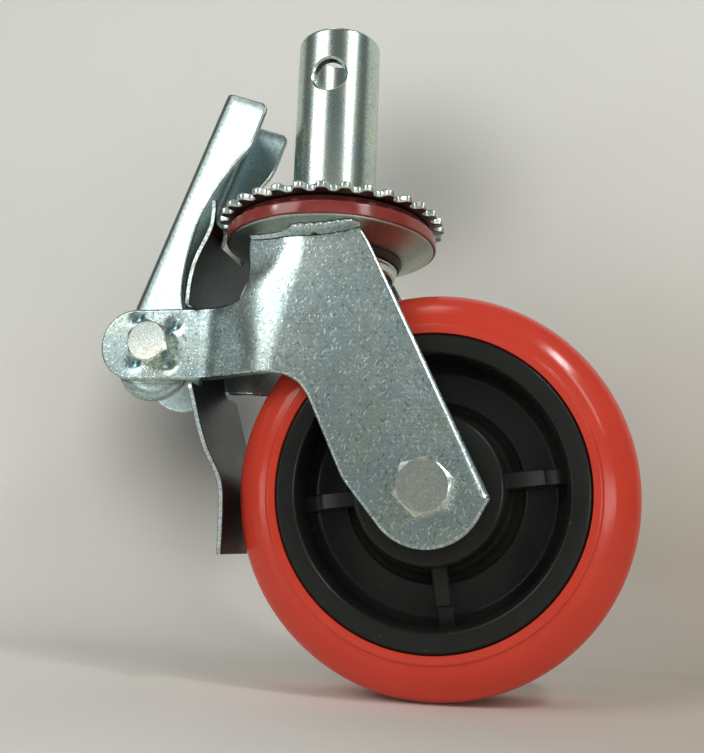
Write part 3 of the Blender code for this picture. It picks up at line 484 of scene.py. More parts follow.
def resampled(points, step):
    """A closed outline with points added along its straight runs, none further apart than a step."""
    here = np.asarray(points, float)
    ahead = np.roll(here, -1, 0)
    pieces = np.maximum(1, np.ceil(np.linalg.norm(ahead - here, axis=1) / step).astype(int))
    runs = [a + (b - a) * (np.arange(n) / n)[:, None] for a, b, n in zip(here, ahead, pieces)]
    return np.concatenate(runs)


def under_dish(radius):
    """Height of the fork head's underside at a radius, in millimetres."""
    return np.interp(radius, [30.0, 32.0, 36.0, 40.0, 42.0], [-16.8, -16.2, -14.3, -12.7, -12.2])


axle_at, brake_at = (45.8, -110.9), (-67.0, -55.0)
axle_hole, brake_hole = 6.3, 5.3
leg_face, arm_face, fold_end, leg_thick = 34.0, 20.2, -47.5, 4.0


def dimples(x, z, radius):
    """Four dimples pressed round the brake bolt, from 0 to 1: each a bell of a radius with a flat middle."""
    deep = 0.0
    for dx, dz in ((-74.6, -44.1), (-58.7, -47.7), (-74.7, -62.7), (-59.6, -62.9)):
        deep = deep + np.exp(-(((x - dx) ** 2 + (z - dz) ** 2) / radius ** 2) ** 1.5)
    return deep


def by_height(z, heights, values):
    """A value that changes with height: stations joined straight, softened by the mean of five levels."""
    return np.mean([np.interp(z + off, heights, values) for off in (-4.0, -2.0, 0.0, 2.0, 4.0)], axis=0)


def leg_depth(x, z):
    """Distance of a leg's outer face from the middle: wide on the leg, narrow on the arm. Between them a soft
    bend, a steady slope and a tighter bend: the slope grows evenly, holds and falls evenly. The soft bend is
    narrow at the top and widens down to the arm."""
    start = by_height(z, [-68.0, -42.0, -30.0, -20.0], [-12.0, -6.5, -2.4, -1.0])
    share = np.clip((start - x) / (start - fold_end), 0.0, 1.0)
    soft = by_height(z, [-68.0, -60.0, -50.0, -42.0, -36.0, -31.0, -27.0, -24.0],
                     [14.0, 16.0, 24.0, 29.0, 27.0, 19.0, 13.0, 11.0]) / (start - fold_end)
    tight = 0.24
    steady = 1.0 - soft / 2 - tight / 2
    ramp = np.where(share < soft, share ** 2 / (2 * soft), share - soft / 2)
    ramp = np.where(share > 1 - tight, steady - (1 - share) ** 2 / (2 * tight), ramp)
    return leg_face - (leg_face - arm_face) * ramp / steady


def leg_place(flat, depth, side):
    """A leg's point: on the outer face, less its depth along the face's normal, with the dimples pushed in,
    each a shallow saucer with a cup in it."""
    x, z = flat[:, 0], flat[:, 1]
    step = 0.2
    slope_x = (leg_depth(x + step, z) - leg_depth(x - step, z)) / (2 * step)
    slope_z = (leg_depth(x, z + step) - leg_depth(x, z - step)) / (2 * step)
    steep = np.sqrt(1.0 + slope_x ** 2 + slope_z ** 2)
    sunk = 0.45 * dimples(x, z, 3.3) + 0.7 * dimples(x, z, 1.9)
    y = leg_depth(x, z) - depth / steep - sunk
    return np.stack([x + depth * slope_x / steep, side * y, z + depth * slope_z / steep], axis=1) * 0.001


crown_x = np.array([-26.9, -24.0, -20.0, -16.0, -12.0, -6.0, 0.0, 6.0, 12.0, 16.0, 19.0])
crown_z = under_dish(np.hypot(crown_x, leg_depth(crown_x, -16.0) - 1.0)) - 0.3
leg_corners = np.concatenate([
    [(22.6, -19.6), (68.6, -114.3)],
    arc_points(axle_at, 21.6, -22.0, -136.0, 28),
    [(15.8, -108.3), (1.4, -77.6), (-1.8, -73.6), (-6.8, -70.6), (-13.0, -69.4), (-44.0, -69.4)],
    arc_points((-75.4, -55.0), 14.4, 270.0, 90.0, 36),
    [(-44.0, -40.6), (-33.0, -40.6), (-28.9, -39.3), (-27.1, -36.5), (-26.2, -31.9), (-26.4, -25.8),
     (-27.2, -19.8), (-27.2, -16.2)],
    np.stack([crown_x, crown_z], axis=1)])
leg_cut = np.full(len(leg_corners), 1.2)
leg_cut[:2] = (1.5, 0.5)
leg_cut[30:32] = 3.0
leg_cut[-len(crown_x)] = 3.0
leg_outline = resampled(eased(leg_corners, leg_cut, 3), 1.2)
leg_holes = [round_hole(axle_at, axle_hole, 40), round_hole(brake_at, brake_hole, 36)]


def outward(loop, into_hole):
    """Unit normals of a closed outline that point away from the sheet, lengthened a little at its corners."""
    ahead = np.roll(loop, -1, 0) - loop
    ahead = ahead / np.linalg.norm(ahead, axis=1)[:, None]
    side = np.stack([ahead[:, 1], -ahead[:, 0]], axis=1)
    mean = side + np.roll(side, 1, 0)
    mean = mean / np.linalg.norm(mean, axis=1)[:, None]
    mean = mean / np.clip((mean * side).sum(1), 0.8, 1.0)[:, None]
    area = (loop[:, 0] * np.roll(loop[:, 1], -1) - np.roll(loop[:, 0], -1) * loop[:, 1]).sum()
    return mean if (area > 0.0) != into_hole else -mean


def plate_shells(outline, holes, pitch, place, thick, roll, wide=0.0, back=0):
    """A sheet's shells: two faces drawn in from the outline by the roll, and a rim that turns over each edge
    as a soft bevel and runs straight between. wide adds to the roll at each point of the outline, on the
    outer face alone. place puts a flat point at a depth under the outer face in space. back is the inner
    face's material."""
    loops = [np.asarray(loop, float) for loop in (outline, *holes)]
    normals = [outward(loop, number > 0) for number, loop in enumerate(loops)]
    reach = [1.4, 1.0, 0.85, 0.5, 0.15, 0.0, 0.0]
    sunk = [0.0, 0.0, 0.06, 0.28, 0.52, 0.70, 1.0]
    shells = []
    rims = []
    for outer in (True, False):
        widths = [np.full(len(loop), roll) for loop in loops]
        if outer:
            widths[0] = widths[0] + wide
        edges = list(zip(loops, normals, widths))
        drawn_in = [loop - normal * (reach[0] * width)[:, None] for loop, normal, width in edges]
        flat, triangles = blank(drawn_in[0], drawn_in[1:], pitch)
        shells.append((place(flat, 0.0 if outer else thick), triangles, 0 if outer else back))
        rims.append([np.stack([place(loop - normal * (width * r)[:, None],
                                     width * s if outer else thick - width * s) for r, s in zip(reach, sunk)])
                     for loop, normal, width in edges])
    for over, under in zip(*rims):
        bevel = grid_quads(len(reach), over.shape[1], False, True)
        wall = grid_quads(2, over.shape[1], False, True)
        shells += [(over, bevel), (under, bevel), (np.stack([over[-1], under[-1]]), wall, 1)]
    return shells


def points_of(piece):
    """A piece's points, in millimetres."""
    places = np.empty(len(piece.data.vertices) * 3)
    piece.data.vertices.foreach_get("co", places)
    return places.reshape(-1, 3) * 1000.0


def store(piece, label, share):
    """Keeps a share at each point of a piece, for its material to read."""
    piece.data.attributes.new(label, "FLOAT", "POINT").data.foreach_set("value", share)


def stored(material, label):
    """The share that a piece keeps under a label."""
    return add_node(material.node_tree, "Attribute", attribute_name=label).outputs["Fac"]


# Painted shade: each dimple is tinted towards a dark teal, most in its cup, by the share each leg keeps.
overlay(pressed_zinc, stored(pressed_zinc, "dimple"), (0.10, 0.22, 0.28))
# Painted shade: the legs' inner faces take a darker, rougher copy of the zinc.
shaded_inner_zinc = zinc("zinc_painted_shade_inside_legs", (0.26, 0.31, 0.30), 0.42, 0.8, 0.2, 0.1)
burnished = np.interp(leg_outline[:, 1], [-114.0, -95.0, -25.0], [1.5, 1.1, 0.0])
burnished = burnished * (outward(leg_outline, False) @ (0.9, 0.435) > 0.97)
burnished = np.convolve(np.pad(burnished, 1, mode="wrap"), (0.25, 0.5, 0.25), mode="valid")
sides = ((-1.0, "near"), (1.0, "far"))
for side, label in sides:
    leg_shells = plate_shells(leg_outline, leg_holes, 0.95, lambda flat, depth: leg_place(flat, depth, side),
                              leg_thick, 0.8, burnished, 2)
    leg = make_piece("fork_leg_" + label, leg_shells, [pressed_zinc, sheared_zinc, shaded_inner_zinc], "fork",
                     ["leg_" + label], hard=50.0)
    x, z = points_of(leg)[:, (0, 2)].T
    # The share of painted shade kept at each point of the dimples.
    store(leg, "dimple", 0.42 * dimples(x, z, 3.4) + 0.45 * dimples(x, z, 2.0))


# Fork welds
# A bead of weld joins each leg's top to the fork head, laid in small overlapping drops and plated over.
# Its section is carried along the joint, and each drop swells it and dips between drops.

def fan(count):
    """Triangles that close a ring of points, all from its first point."""
    return np.stack([np.zeros(count - 2, int), np.arange(1, count - 1), np.arange(2, count)], axis=1)


weld_zinc = zinc("zinc_on_weld", (0.56, 0.66, 0.66), 0.26, 1.2, 0.2, 0.4)
tree = weld_zinc.node_tree
place = object_place(tree)
axes = add_node(tree, "SeparateXYZ", [("Vector", place)]).outputs
# The weld's lower side, on its right part, is tinted dark red below a wavy line.
dark_red_line = spread(tree, noise(tree, place, 190.0, 2.0), (0.0, 1.0), (-0.0182, -0.0146))
below_line = spread(tree, maths(tree, "SUBTRACT", axes["Z"], dark_red_line), (0.0001, -0.0003), smooth=True)
to_the_right = spread(tree, axes["X"], (-0.006, 0.002), smooth=True)
overlay(weld_zinc, maths(tree, "MULTIPLY", below_line, to_the_right), (0.10, 0.035, 0.03))
stations, gap = 140, 0.28
along = np.linspace(0.0, 1.0, stations)
x = -26.0 + 45.5 * along
drops = 0.14 * np.abs(np.cos(np.pi * 13.0 * along + 0.9 * np.sin(7.0 * along)))
ridge = np.clip(np.minimum((along - 0.32) * 8.0, (1 - along) * 12.0), 0.0, 1.0)[:, None]
swell = (0.28 + 0.72 * ridge) * (1 - drops[:, None] * ridge)
turn = np.linspace(0.0, 1.0, 16)[None, :]
face = leg_depth(x, -17.0)[:, None] + 0.25
x = x[:, None]
foot = under_dish(np.hypot(x, face - 1.25)) - 0.7 - 0.5 * ridge
lap = face + 4.4 * swell
roof = under_dish(np.hypot(x, lap)) - gap
belly = swell * ridge * np.sin(np.pi * turn)
out = lap + (face + 0.25 - lap) * turn + 1.5 * belly
drop = roof + (foot - roof) * turn + 0.2 * belly
out = np.concatenate([face, out, face], axis=1)
drop = np.concatenate([under_dish(np.hypot(x, face)) - gap, drop, foot + 0.3], axis=1)
count = out.shape[1]
for side, label in sides:
    points = np.stack(np.broadcast_arrays(x, side * out, drop), axis=-1) * 0.001
    bead = (points, grid_quads(stations, count, False, True))
    make_piece("weld_bead_" + label, [bead, (points[0], fan(count)), (points[-1], fan(count))], weld_zinc,
               "fork", ["leg_weld_" + label], hard=60.0)


# Axle and brake bolts
# Hexagon bolts with their corners turned off, held by lock nuts on the far side. Their heads are left bare.
# A hexagon's radius swings with the angle, and the turned corners drop away as a cone outside a circle.

def head_shell(across, height, dish=0.0, bore=0.0, both_ends=False, count=120):
    """A hexagon head, its radius half its width over the cosine of the angle from the nearest flat. Rings step
    out to the hexagon, dropping as a 30 degree cone past the flat's circle."""
    angle = full_turn(count)
    from_flat = np.mod(angle + np.pi / 6, np.pi / 3) - np.pi / 6
    edge = across / 2 / np.cos(from_flat)
    flat = across / 2 * 0.95
    share = np.array([0.0, 0.3, 0.55, 0.75, 0.88, 0.95, 1.0])
    inner = bore + (flat - bore) * share
    cone = flat + (edge - flat) * np.linspace(0.15, 1.0, 6)
    radius = np.concatenate([np.broadcast_to(inner, (count, len(inner))), cone], axis=1)
    sink = dish * (1 - np.clip(radius / flat, 0, 1) ** 2)
    top = height - np.clip(radius - flat, 0.0, None) * math.tan(math.radians(30.0)) - sink
    low_radius = radius[:, ::-1] if both_ends else np.concatenate([edge, np.full((count, 1), bore)], axis=1)
    low = height - top[:, ::-1] if both_ends else np.zeros((count, 2))
    radius = np.concatenate([radius, low_radius], axis=1)
    level = np.concatenate([top, low], axis=1)
    return angle, radius, level


def threaded_shank(radius, length, pitch, count=48):
    """A shank whose last stretch is threaded: the radius dips as a wave that climbs one pitch each turn."""
    angle = full_turn(count)
    thread_from = length - 24.0
    level = np.concatenate([[0.0, thread_from - 1.0], np.arange(thread_from, length - 1.0, pitch / 10),
                            [length - 1.0, length]])[None, :]
    depth = 0.3 * pitch * np.clip((level - thread_from) / pitch, 0.0, 1.0)
    depth = depth * (level < length - 0.9)
    phase = np.abs(np.mod(level / pitch - angle / (2 * np.pi), 1.0) - 0.5) * 2
    body = radius - depth * 2 * (1 - phase)
    body[:, -1] = radius - 1.0
    body[:, -2] = radius - 0.35
    middle = np.zeros((count, 1))
    radius_grid = np.concatenate([middle, body, middle], axis=1)
    level_grid = np.concatenate([middle, np.broadcast_to(level, body.shape), middle + length], axis=1)
    return angle, radius_grid, level_grid


bolt_zinc = zinc("zinc_on_bolts", (0.69, 0.73, 0.65), 0.26, 1.0, 0.5, 0.12)
axle_across, brake_across, head_dish = 19.0, 16.0, 0.12
bolts = [("axle_bolt_made", "axle_bolt", axle_at, axle_across, 7.5, 6.0, 82.0, 1.75, leg_face, -14.0),
         ("brake_bolt_made", "brake_bolt", brake_at, brake_across, 6.4, 5.0, 52.5, 1.5, arm_face, 8.0)]
for name, node, centre, across, height, radius, length, pitch, face_y, turned_by in bolts:
    head_angle, head_radius, head_level = head_shell(across, height, head_dish)
    head = along_y(head_angle + math.radians(turned_by), head_radius, head_level, centre, -face_y, -1.0)
    shank = along_y(*threaded_shank(radius, length, pitch), centre, -face_y)
    make_piece(name, [head, shank], bolt_zinc, "fork", [node], hard=28.0)

nuts = [("axle_lock_nut", "axle_nut", axle_at, axle_across, 12.0, axle_hole, leg_face),
        ("brake_lock_nut", "brake_nut", brake_at, brake_across, 10.0, brake_hole, arm_face)]
for name, node, centre, across, height, bore, face_y in nuts:
    body = along_y(*head_shell(across, height * 0.72, 0.0, bore, True), centre, face_y)
    crown = across * 0.44
    collar = eased([(crown - 1.6, height), (crown - 0.7, height), (crown, height - 0.9),
                    (crown, height * 0.6), (bore + 0.2, height * 0.6), (bore + 0.2, height - 1.4),
                    (crown - 1.9, height - 1.0)],
                   [0.2, 0.5, 0.5, 0.1, 0.1, 0.2, 0.2])
    make_piece(name, [body, spun(collar + (0, face_y), 72, centre)], bright_zinc, "fork", [node], hard=28.0)

nut_angle, nut_radius, nut_level = head_shell(24.0, 7.0, 0.0, 8.8, True)
nut_body = closed_grid(ringed(nut_angle, nut_radius, -24.6 - nut_level))
nut_collar = eased([(8.8, -30.6), (10.56, -30.6), (10.56, -33.7), (9.8, -34.6), (9.2, -34.6), (8.8, -34.2)],
                   [0.1, 0.1, 0.6, 0.4, 0.2, 0.2])
make_piece("kingpin_lock_nut", [nut_body, spun(nut_collar, 72)], bright_zinc, "spigot_body", ["kingpin_nut"],
           hard=28.0)


# Sleeves
# A plain tube on the axle bolt carries the wheel's bearings; one on the brake bolt parts the lever's sides.
# Both are turned sections with small chamfers.

for name, node, inner, outer, half, centre in (
        ("axle_tube", "axle_sleeve", axle_hole, 8.5, 29.7, axle_at),
        ("brake_tube", "brake_sleeve", brake_hole, 8.0, 13.1, brake_at)):
    section = eased([(inner, half), (outer, half), (outer, -half), (inner, -half)], 0.3)
    make_piece(name, [spun(section, 72, centre)], bright_zinc, "fork", [node])


# Tyre
# Cast red polyurethane bonded to the core: a flat tread, flanks that curve softly back, and a raised lip.
# It is a turned section, glossy and slightly clear, so that its thin edges glow.

def mirrored(half, cut, steps):
    """A closed profile, eased, from the half on one side of the middle and that half's cuts."""
    whole = np.concatenate([half, np.array(half)[::-1] * (1, -1)])
    return eased(whole, np.concatenate([cut, cut[::-1]]), steps)


red_urethane, tree, shader = plain_material("red_cast_polyurethane", (0.56, 0.042, 0.022), 0.17)
place = object_place(tree)
cast_tone = mixed(tree, noise(tree, place, 38.0, 3.0), (0.56, 0.046, 0.025), (0.66, 0.062, 0.034))
cast_dust = noise(tree, place, 700.0, 4.0)
feed(tree, shader, [("Subsurface Weight", 0.12), ("Subsurface Radius", (0.006, 0.0015, 0.0008)),
                    ("Subsurface Scale", 0.5), ("Specular IOR Level", 0.3), ("Base Color", cast_tone),
                    ("Roughness", spread(tree, cast_dust, (0.0, 1.0), (0.12, 0.24))),
                    ("Normal", bumped(tree, noise(tree, place, 110.0, 2.0), 0.12, 0.0002))])
tyre_profile = mirrored([(75.0, 12.2), (74.75, 14.0), (73.3, 17.0), (69.4, 20.4), (64.5, 22.9), (61.3, 23.45),
                         (60.7, 24.35), (57.75, 24.25)], [1.2, 1.0, 2.0, 2.5, 2.0, 0.35, 0.5, 0.1], 8)
make_piece("tyre_casting", [spun(tyre_profile, 220, axle_at)], red_urethane, "wheel", ["tyre"],
           hard=50.0)


# Wheel core
# Moulded black nylon: a rim that the tyre is bonded to, a deep web with four ribs a side, and a hub.
# Web and hub are a turned section; each rib is a rounded bar with sloping sides, stepped down near the rim.

black_nylon, tree, shader = plain_material("black_moulded_nylon", (0.013, 0.015, 0.014), 0.40)
place = object_place(tree)
cloud = noise(tree, place, 60.0, 3.0)
feed(tree, shader, [("Specular IOR Level", 0.22),
                    ("Base Color", mixed(tree, cloud, (0.011, 0.013, 0.011), (0.017, 0.019, 0.016))),
                    ("Roughness", spread(tree, cloud, (0.0, 1.0), (0.20, 0.34))),
                    ("Normal", bumped(tree, noise(tree, place, 1100.0, 3.0), 0.3, 0.00004))])
overlay(black_nylon, maths(tree, "LESS_THAN", cells_of(tree, place, 170.0), 0.035), (0.10, 0.10, 0.09))
core_profile = mirrored([(9.6, 17.0), (16.6, 17.0), (16.6, 27.2), (26.7, 27.2), (27.6, 26.2), (28.8, 13.0),
                         (30.2, 12.0), (31.6, 8.4), (33.6, 6.8), (34.4, 5.6), (46.2, 5.6), (48.7, 9.0),
                         (49.7, 23.1), (50.6, 24.0), (56.7, 24.0), (57.5, 23.2)],
                        [0.3, 0.1, 0.4, 0.6, 0.5, 0.5, 0.8, 0.8, 0.6, 0.4, 1.6, 1.2, 0.5, 0.5, 0.4, 0.4], 5)
core_shells = [spun(core_profile, 200, axle_at)]


def rib_shell(turn, side):
    """A rib: round-cornered sections, narrower to the top, set along the radius and dropping at its step."""
    out = np.array([26.5, 27.0, 40.4, 41.4, 42.0, 46.8, 49.0])
    tall = np.array([17.4, 17.4, 17.4, 17.0, 13.9, 13.6, 12.8])
    width = np.array([-3.5, -3.35, -3.1, -2.6, 2.6, 3.1, 3.35, 3.5])
    share = np.array([0.0, 0.6, 0.955, 1.0, 1.0, 0.955, 0.6, 0.0])
    foot = 4.0
    level = foot + (tall[:, None] - foot) * share
    x = axle_at[0] + out[:, None] * math.cos(turn) - width * math.sin(turn)
    z = axle_at[1] + out[:, None] * math.sin(turn) + width * math.cos(turn)
    points = np.stack([x, side * level, z], axis=-1) * 0.001
    end = fan(len(width))
    return [(points, grid_quads(len(out), len(width), False, True)), (points[0], end), (points[-1], end)]


for quarter in range(4):
    for side, label in sides:
        core_shells += rib_shell(math.radians(90.0 * quarter + 7.4), side)
make_piece("wheel_core_moulding", core_shells, black_nylon, "wheel", ["wheel_core"], hard=30.0)


# Wheel bearings
# A shielded bearing in each end of the hub: an outer ring, a recessed shield and an inner ring on the sleeve.
# Each is one turned section, mirrored from side to side.

for side, label in sides:
    section = eased([(8.9, 27.0), (10.6, 27.0), (10.9, 26.3), (14.3, 26.3), (14.6, 27.0), (16.2, 27.0),
                     (16.3, 17.3), (8.9, 17.3)], [0.2, 0.2, 0.1, 0.1, 0.2, 0.3, 0.3, 0.2])
    make_piece("wheel_bearing_" + label, [spun(section * (1, side), 96, axle_at)], bright_zinc, "wheel",
               ["bearing_" + label])


# Brake lever
# A channel folded from 2.5 mm sheet. Its sides swell into a head to press, and end in cams below the pivot.
# The flat blank is cut with both cams on it, then its points are rolled round the two folds.

lean = math.radians(20.0)
lever_axis_up = np.array([math.sin(lean), 0.0, math.cos(lean)])
lever_axis_across = np.array([math.cos(lean), 0.0, -math.sin(lean)])
lever_pivot = np.array([brake_at[0], 0.0, brake_at[1]])
web_w, fold, half_width, lever_thick = -17.7, 4.6, 15.9, 2.5
flat_half = half_width - fold
fold_length = fold * math.pi / 2
cam_w, cam_u = 1.4, -6.8


def lever_side_edge(u):
    """How far a side of the lever reaches across, at a distance up the lever: cam, waist and head."""
    stations = [9.0, 13.0, 16.0, 21.0, 27.0, 35.3, 43.9, 54.0, 61.9, 68.2, 76.7, 83.3, 88.0, 91.0, 98.0,
                108.6]
    reaches = [13.5, 9.0, 5.4, 1.6, -0.8, -3.0, -4.6, -5.8, -5.5, -4.5, -2.4, -0.5, 1.9, 3.1, 3.2, 2.8]
    return np.interp(u, stations, reaches)


def side_to_blank(w):
    """Where a place on the lever's side lies on the flat blank, counted from the middle of the web."""
    return flat_half + fold_length + (w - (web_w + fold))


up = np.linspace(108.6, 9.5, 70)
smooth = np.convolve(np.pad(lever_side_edge(up), 3, mode="edge"), np.ones(7) / 7, mode="valid")
side_run = np.stack([side_to_blank(smooth), up], axis=1)
cam = arc_points((side_to_blank(cam_w), cam_u), 15.6, 42.0, -196.0, 48)
notch = [(side_to_blank(-14.0), 6.0), (side_to_blank(-14.6), 10.0), (flat_half + 1.0, 12.0)]
crest = [(side_to_blank(0.6), 111.4), (side_to_blank(2.4), 110.3)]
right_half = np.concatenate([crest, side_run, cam, notch])
lever_outline = np.concatenate([right_half, right_half[::-1] * (-1, 1)])
keep = np.linalg.norm(np.roll(lever_outline, -1, 0) - lever_outline, axis=1) > 0.2
lever_outline = resampled(lever_outline[keep], 1.6)
pivot_holes = [round_hole((sign * side_to_blank(0.0), 0.0), brake_hole, 36) for sign in (1, -1)]


def lever_place(flat, depth):
    """A lever's point: the blank is rolled round both folds by a quarter turn, and depth is taken off along
    the normal that turns with it. A shallow groove is pressed round each cam."""
    s, u = np.abs(flat[:, 0]), flat[:, 1]
    roll = np.clip((s - flat_half) / fold_length, 0.0, 1.0) * math.pi / 2
    w = web_w + fold * (1 - np.cos(roll)) + np.clip(s - flat_half - fold_length, 0.0, None)
    y = np.minimum(s, flat_half) + fold * np.sin(roll)
    cam_distance = np.hypot(u - cam_u, w - cam_w)
    groove = 0.15 * np.exp(-((cam_distance - 12.2) / 1.1) ** 2) * (u < -4.0) * (w > -14.0)
    w = w + depth * np.cos(roll)
    y = (y - groove - depth * np.sin(roll)) * np.where(flat[:, 0] < 0.0, -1.0, 1.0)
    place = lever_pivot + w[:, None] * lever_axis_across + u[:, None] * lever_axis_up
    place[:, 1] += y
    return place * 0.001


lever_zinc = zinc("zinc_on_brake_lever", (0.55, 0.67, 0.66), 0.25, 0.7, 0.3, 0.08)
# Painted shade: the lever's inner faces take a darker, rougher copy of its zinc.
shaded_lever_inner_zinc = zinc("zinc_painted_shade_inside_lever", (0.41, 0.51, 0.52), 0.42, 0.8, 0.3, 0.06)
# Painted shade: along the folds and the top edge both materials are darkened and roughened, and the near cam
# under the arm is darkened as a painted shadow.
for material in (lever_zinc, shaded_lever_inner_zinc):
    tree = material.node_tree
    overlay(material, stored(material, "fold"), (0.36, 0.35, 0.33), "MULTIPLY")
    overlay(material, stored(material, "cam"), (0.30, 0.31, 0.30), "MULTIPLY")
    finish = tree.nodes["Group"].outputs["Roughness"]
    rough = maths(tree, "MULTIPLY_ADD", stored(material, "fold"), 0.12, finish)
    feed(tree, tree.nodes["Principled BSDF"], [("Roughness", rough)])
lever_shells = plate_shells(lever_outline, pivot_holes, 1.5, lever_place, lever_thick, 0.55, back=2)
lever = make_piece("brake_lever_channel", lever_shells, [lever_zinc, sheared_zinc, shaded_lever_inner_zinc], "lever",
                   ["brake_lever"], hard=50.0)
places = points_of(lever) - lever_pivot
w, y, u = places @ lever_axis_across, places[:, 1], places @ lever_axis_up
# Shares of painted shade: the outer fold strips and the top edge, and the near cam's rim and lower part.
fold_shade_share = np.clip((web_w + fold + 1.4 - w) / 1.2, 0.0, 1.0) * np.clip((np.abs(y) - 11.0) / 2.0, 0.0, 1.0)
store(lever, "fold", np.maximum(fold_shade_share, 0.9 * np.clip((u - 107.6) / 1.6, 0.0, 1.0)))
cam_shadow_rim = np.clip((np.hypot(u - cam_u, w - cam_w) - 11.0) / 1.5, 0.0, 1.0)
store(lever, "cam", (0.15 * np.clip((-2.0 - u) / 4.0, 0.0, 1.0) + 0.6 * cam_shadow_rim * (u < -2.0)) * (y < 0.0))


# Brake bar
# One strip of 2 mm spring steel, bowed between the lever's cams and the wheel. Its foot presses on the tyre
# and its two prongs on the toothed plate. The blank is cut with its waist and prongs, then bent to the bow.

bar_x = [-43.3, -43.0, -43.0, -43.4, -45.3, -47.8, -50.0, -51.2, -51.6, -51.5, -50.4, -48.5, -46.0, -43.3,
         -39.9, -36.2, -33.6, -32.5, -32.1, -31.8, -31.8]
bar_z = [3.2, 0.0, -4.0, -8.0, -13.0, -18.0, -24.0, -31.0, -39.8, -50.0, -60.0, -71.0, -78.8, -88.0, -97.0,
         -103.7, -108.4, -112.9, -119.0, -128.0, -136.6]
bar_thick = 2.0


def bow(z):
    """The bar's middle line, x for a height: its stations joined straight and softened by a running mean."""
    fine = np.linspace(bar_z[-1], bar_z[0], 700)
    line = np.interp(fine, bar_z[::-1], bar_x[::-1])
    line = np.convolve(np.pad(line, 12, mode="edge"), np.ones(25) / 25, mode="valid")
    return np.interp(z, fine, line)


bar_side = [(25.4, 2.6), (25.4, -39.6), (24.6, -40.3), (14.8, -40.3), (12.6, -42.5), (12.6, -69.6),
            (14.8, -71.8), (24.6, -71.8), (25.4, -72.6), (25.4, -136.0), (24.8, -136.6)]
prong_gap = [(11.5, -12.2), (12.8, -11.4), (14.2, -7.2), (15.4, -6.2), (22.8, -6.2), (23.6, -5.2),
             (23.6, 2.6), (24.0, 3.2), (25.0, 3.2)]
bar_outline = np.array(bar_side + [(-a, b) for a, b in bar_side[::-1] + prong_gap[::-1]] + prong_gap)


def bar_place(flat, depth):
    """A bar's point: half its thickness off the bow's middle line along the line's normal, less the depth."""
    slope = bow(flat[:, 1] + 0.5) - bow(flat[:, 1] - 0.5)
    off = (bar_thick / 2 - depth) / np.sqrt(1.0 + slope ** 2)
    return np.stack([bow(flat[:, 1]) + off, flat[:, 0], flat[:, 1] - off * slope], axis=1) * 0.001


# Painted shade: the bar's zinc tone is nearly black, standing for the shade between the legs.
shaded_spring_zinc = zinc("zinc_on_brake_bar_painted_shade", (0.062, 0.076, 0.078), 0.34, 0.6, 0.3, 0.06)
bar_shells = plate_shells(resampled(bar_outline, 1.6), [], 1.6, bar_place, bar_thick, 0.3)
make_piece("brake_bar_strip", bar_shells, [shaded_spring_zinc, sheared_zinc], "bar", ["brake_bar"], hard=50.0)


# Studio
# A pale floor under the wheel that sweeps up into a backdrop, seen through from behind, and soft lamps;
# painted shade and shadows lie on the paper.
# The camera stands where the photograph's did, a little below the swivel, looking up across the wheel.

floor_z, wall_y, sweep, half_stage = -0.1862, 0.14, 0.05, 2.6
turn = np.linspace(0.0, np.pi / 2, 24)
run_y = np.concatenate([[-half_stage], wall_y - sweep + sweep * np.sin(turn), [wall_y]])[:, None]
run_z = np.concatenate([[floor_z], floor_z + sweep * (1 - np.cos(turn)), [1.4]])[:, None]
stage_points = np.stack(np.broadcast_arrays(np.array([[-half_stage, half_stage]]), run_y, run_z), axis=-1)
stage_mesh = bpy.data.meshes.new("studio_sweep")
stage_mesh.from_pydata(stage_points.reshape(-1, 3).tolist(), [], grid_quads(len(run_y), 2).tolist())
stage_mesh.shade_smooth()
stage_piece = link_piece("studio_sweep", stage_mesh)
paper, tree, shader = plain_material("pale_paper", (0.80, 0.78, 0.74), 0.7)
place = object_place(tree)
axes = add_node(tree, "SeparateXYZ", [("Vector", place)]).outputs
# Painted light and shade on the paper: lighter at the bottom left, darker and warmer towards the bottom right.
rightwards = spread(tree, axes["X"], (-0.05, 0.20), smooth=True)
upwards = spread(tree, axes["Z"], (-0.19, 0.10), smooth=True)
shaded_low_tone = mixed(tree, rightwards, (0.84, 0.82, 0.76), (0.60, 0.54, 0.46))
tone = mixed(tree, upwards, shaded_low_tone, (0.77, 0.775, 0.72))
tone = mixed(tree, noise(tree, place, 6.0, 2.0), tone, (0.90, 0.90, 0.90), "MULTIPLY")
# Painted shadows: three soft darker places on the backdrop behind the caster, darkest at the middle and fading
# out to each radius.
for shadow_x, shadow_z, radius, dim in ((-0.100, -0.063, 0.100, 0.20), (0.010, 0.070, 0.095, 0.55),
                                        (-0.092, 0.035, 0.028, 0.12)):
    away = vector(tree, "DISTANCE", place, (shadow_x, wall_y, shadow_z))
    tone = vector(tree, "SCALE", tone, spread(tree, away, (0.0, radius), (dim, 1.0), smooth=True))
feed(tree, shader, [("Base Color", tone)])
seen_from = add_node(tree, "NewGeometry").outputs["Backfacing"]
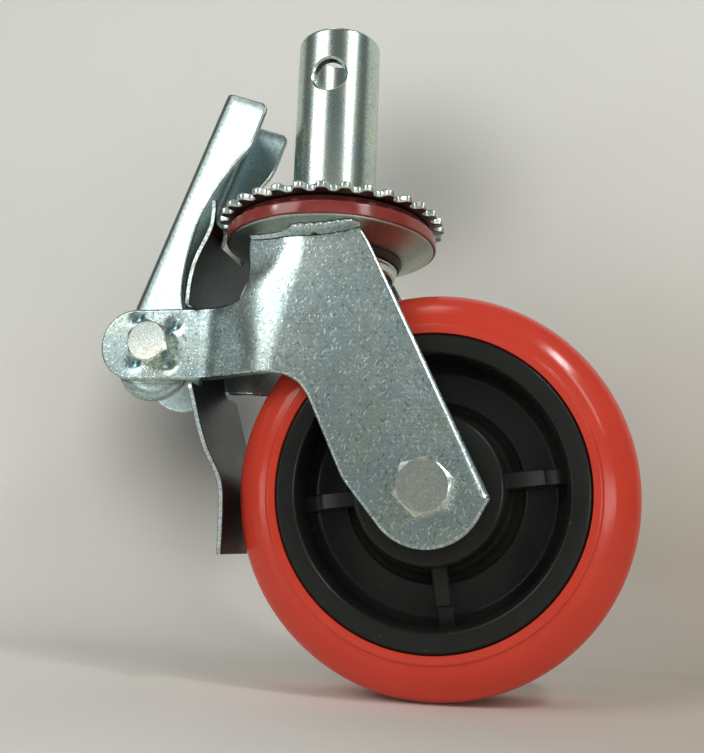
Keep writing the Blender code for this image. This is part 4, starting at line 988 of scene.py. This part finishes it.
one_sided = add_node(tree, "MixShader", [(0, seen_from), (1, shader), (2, add_node(tree, "BsdfTransparent"))])
feed(tree, tree.nodes["Material Output"], [("Surface", one_sided)])
stage_mesh.materials.append(paper)

world = bpy.data.worlds.new("studio_air")
world.use_nodes = True
feed(world.node_tree, world.node_tree.nodes["Background"], [("Color", (0.90, 0.98, 1.0)), ("Strength", 0.11)])
bpy.context.scene.world = world

look_at = Vector((0.0, 0.0, -0.05))
for name, place, wide, tall, power in (
        ("key_softbox", (-0.507, -0.696, 0.429), 0.44, 0.52, 2.8),
        ("right_softbox", (0.62, -0.58, 0.45), 0.16, 0.46, 1.5),
        ("front_card", (0.16, -0.94, 0.20), 0.72, 0.42, 0.30),
        ("left_card", (-0.93, -0.15, 0.12), 0.14, 0.40, 0.10),
        ("top_softbox", (-0.12, -0.25, 0.95), 0.28, 0.20, 0.72),
        ("right_lamp", (0.60, -0.45, 0.64), 0.06, 0.13, 1.6),
        ("left_lamp", (-0.70, -0.58, 0.42), 0.05, 0.10, 0.4),
        ("low_card", (0.55, -0.74, -0.09), 0.60, 0.14, 1.45),
        ("low_left_card", (-0.56, -0.70, -0.09), 0.30, 0.14, 0.5)):
    lamp = bpy.data.lights.new(name, "AREA")
    lamp.shape = "RECTANGLE"
    lamp.size = wide
    lamp.size_y = tall
    lamp.energy = power
    stand = link_piece(name, lamp)
    stand.location = place
    stand.rotation_euler = (look_at - Vector(place)).to_track_quat("-Z", "Y").to_euler()

camera_data = bpy.data.cameras.new("photo_camera")
camera_data.sensor_width = 36.0
camera_data.lens = 41.025
camera_data.shift_x = -0.031
camera_data.clip_start = 0.01
camera = link_piece("photo_camera", camera_data)
right = Vector((0.98136, 0.18965, 0.03095))
down = Vector((-0.00602, 0.19132, -0.98151))
forward = Vector((-0.19206, 0.96303, 0.18890))
turn_matrix = Matrix((right, -down, -forward)).transposed()
camera.matrix_world = Matrix.Translation((0.08659, -0.33244, -0.13018)) @ turn_matrix.to_4x4()
bpy.context.scene.camera = camera
bpy.context.scene.view_settings.view_transform = "Standard"
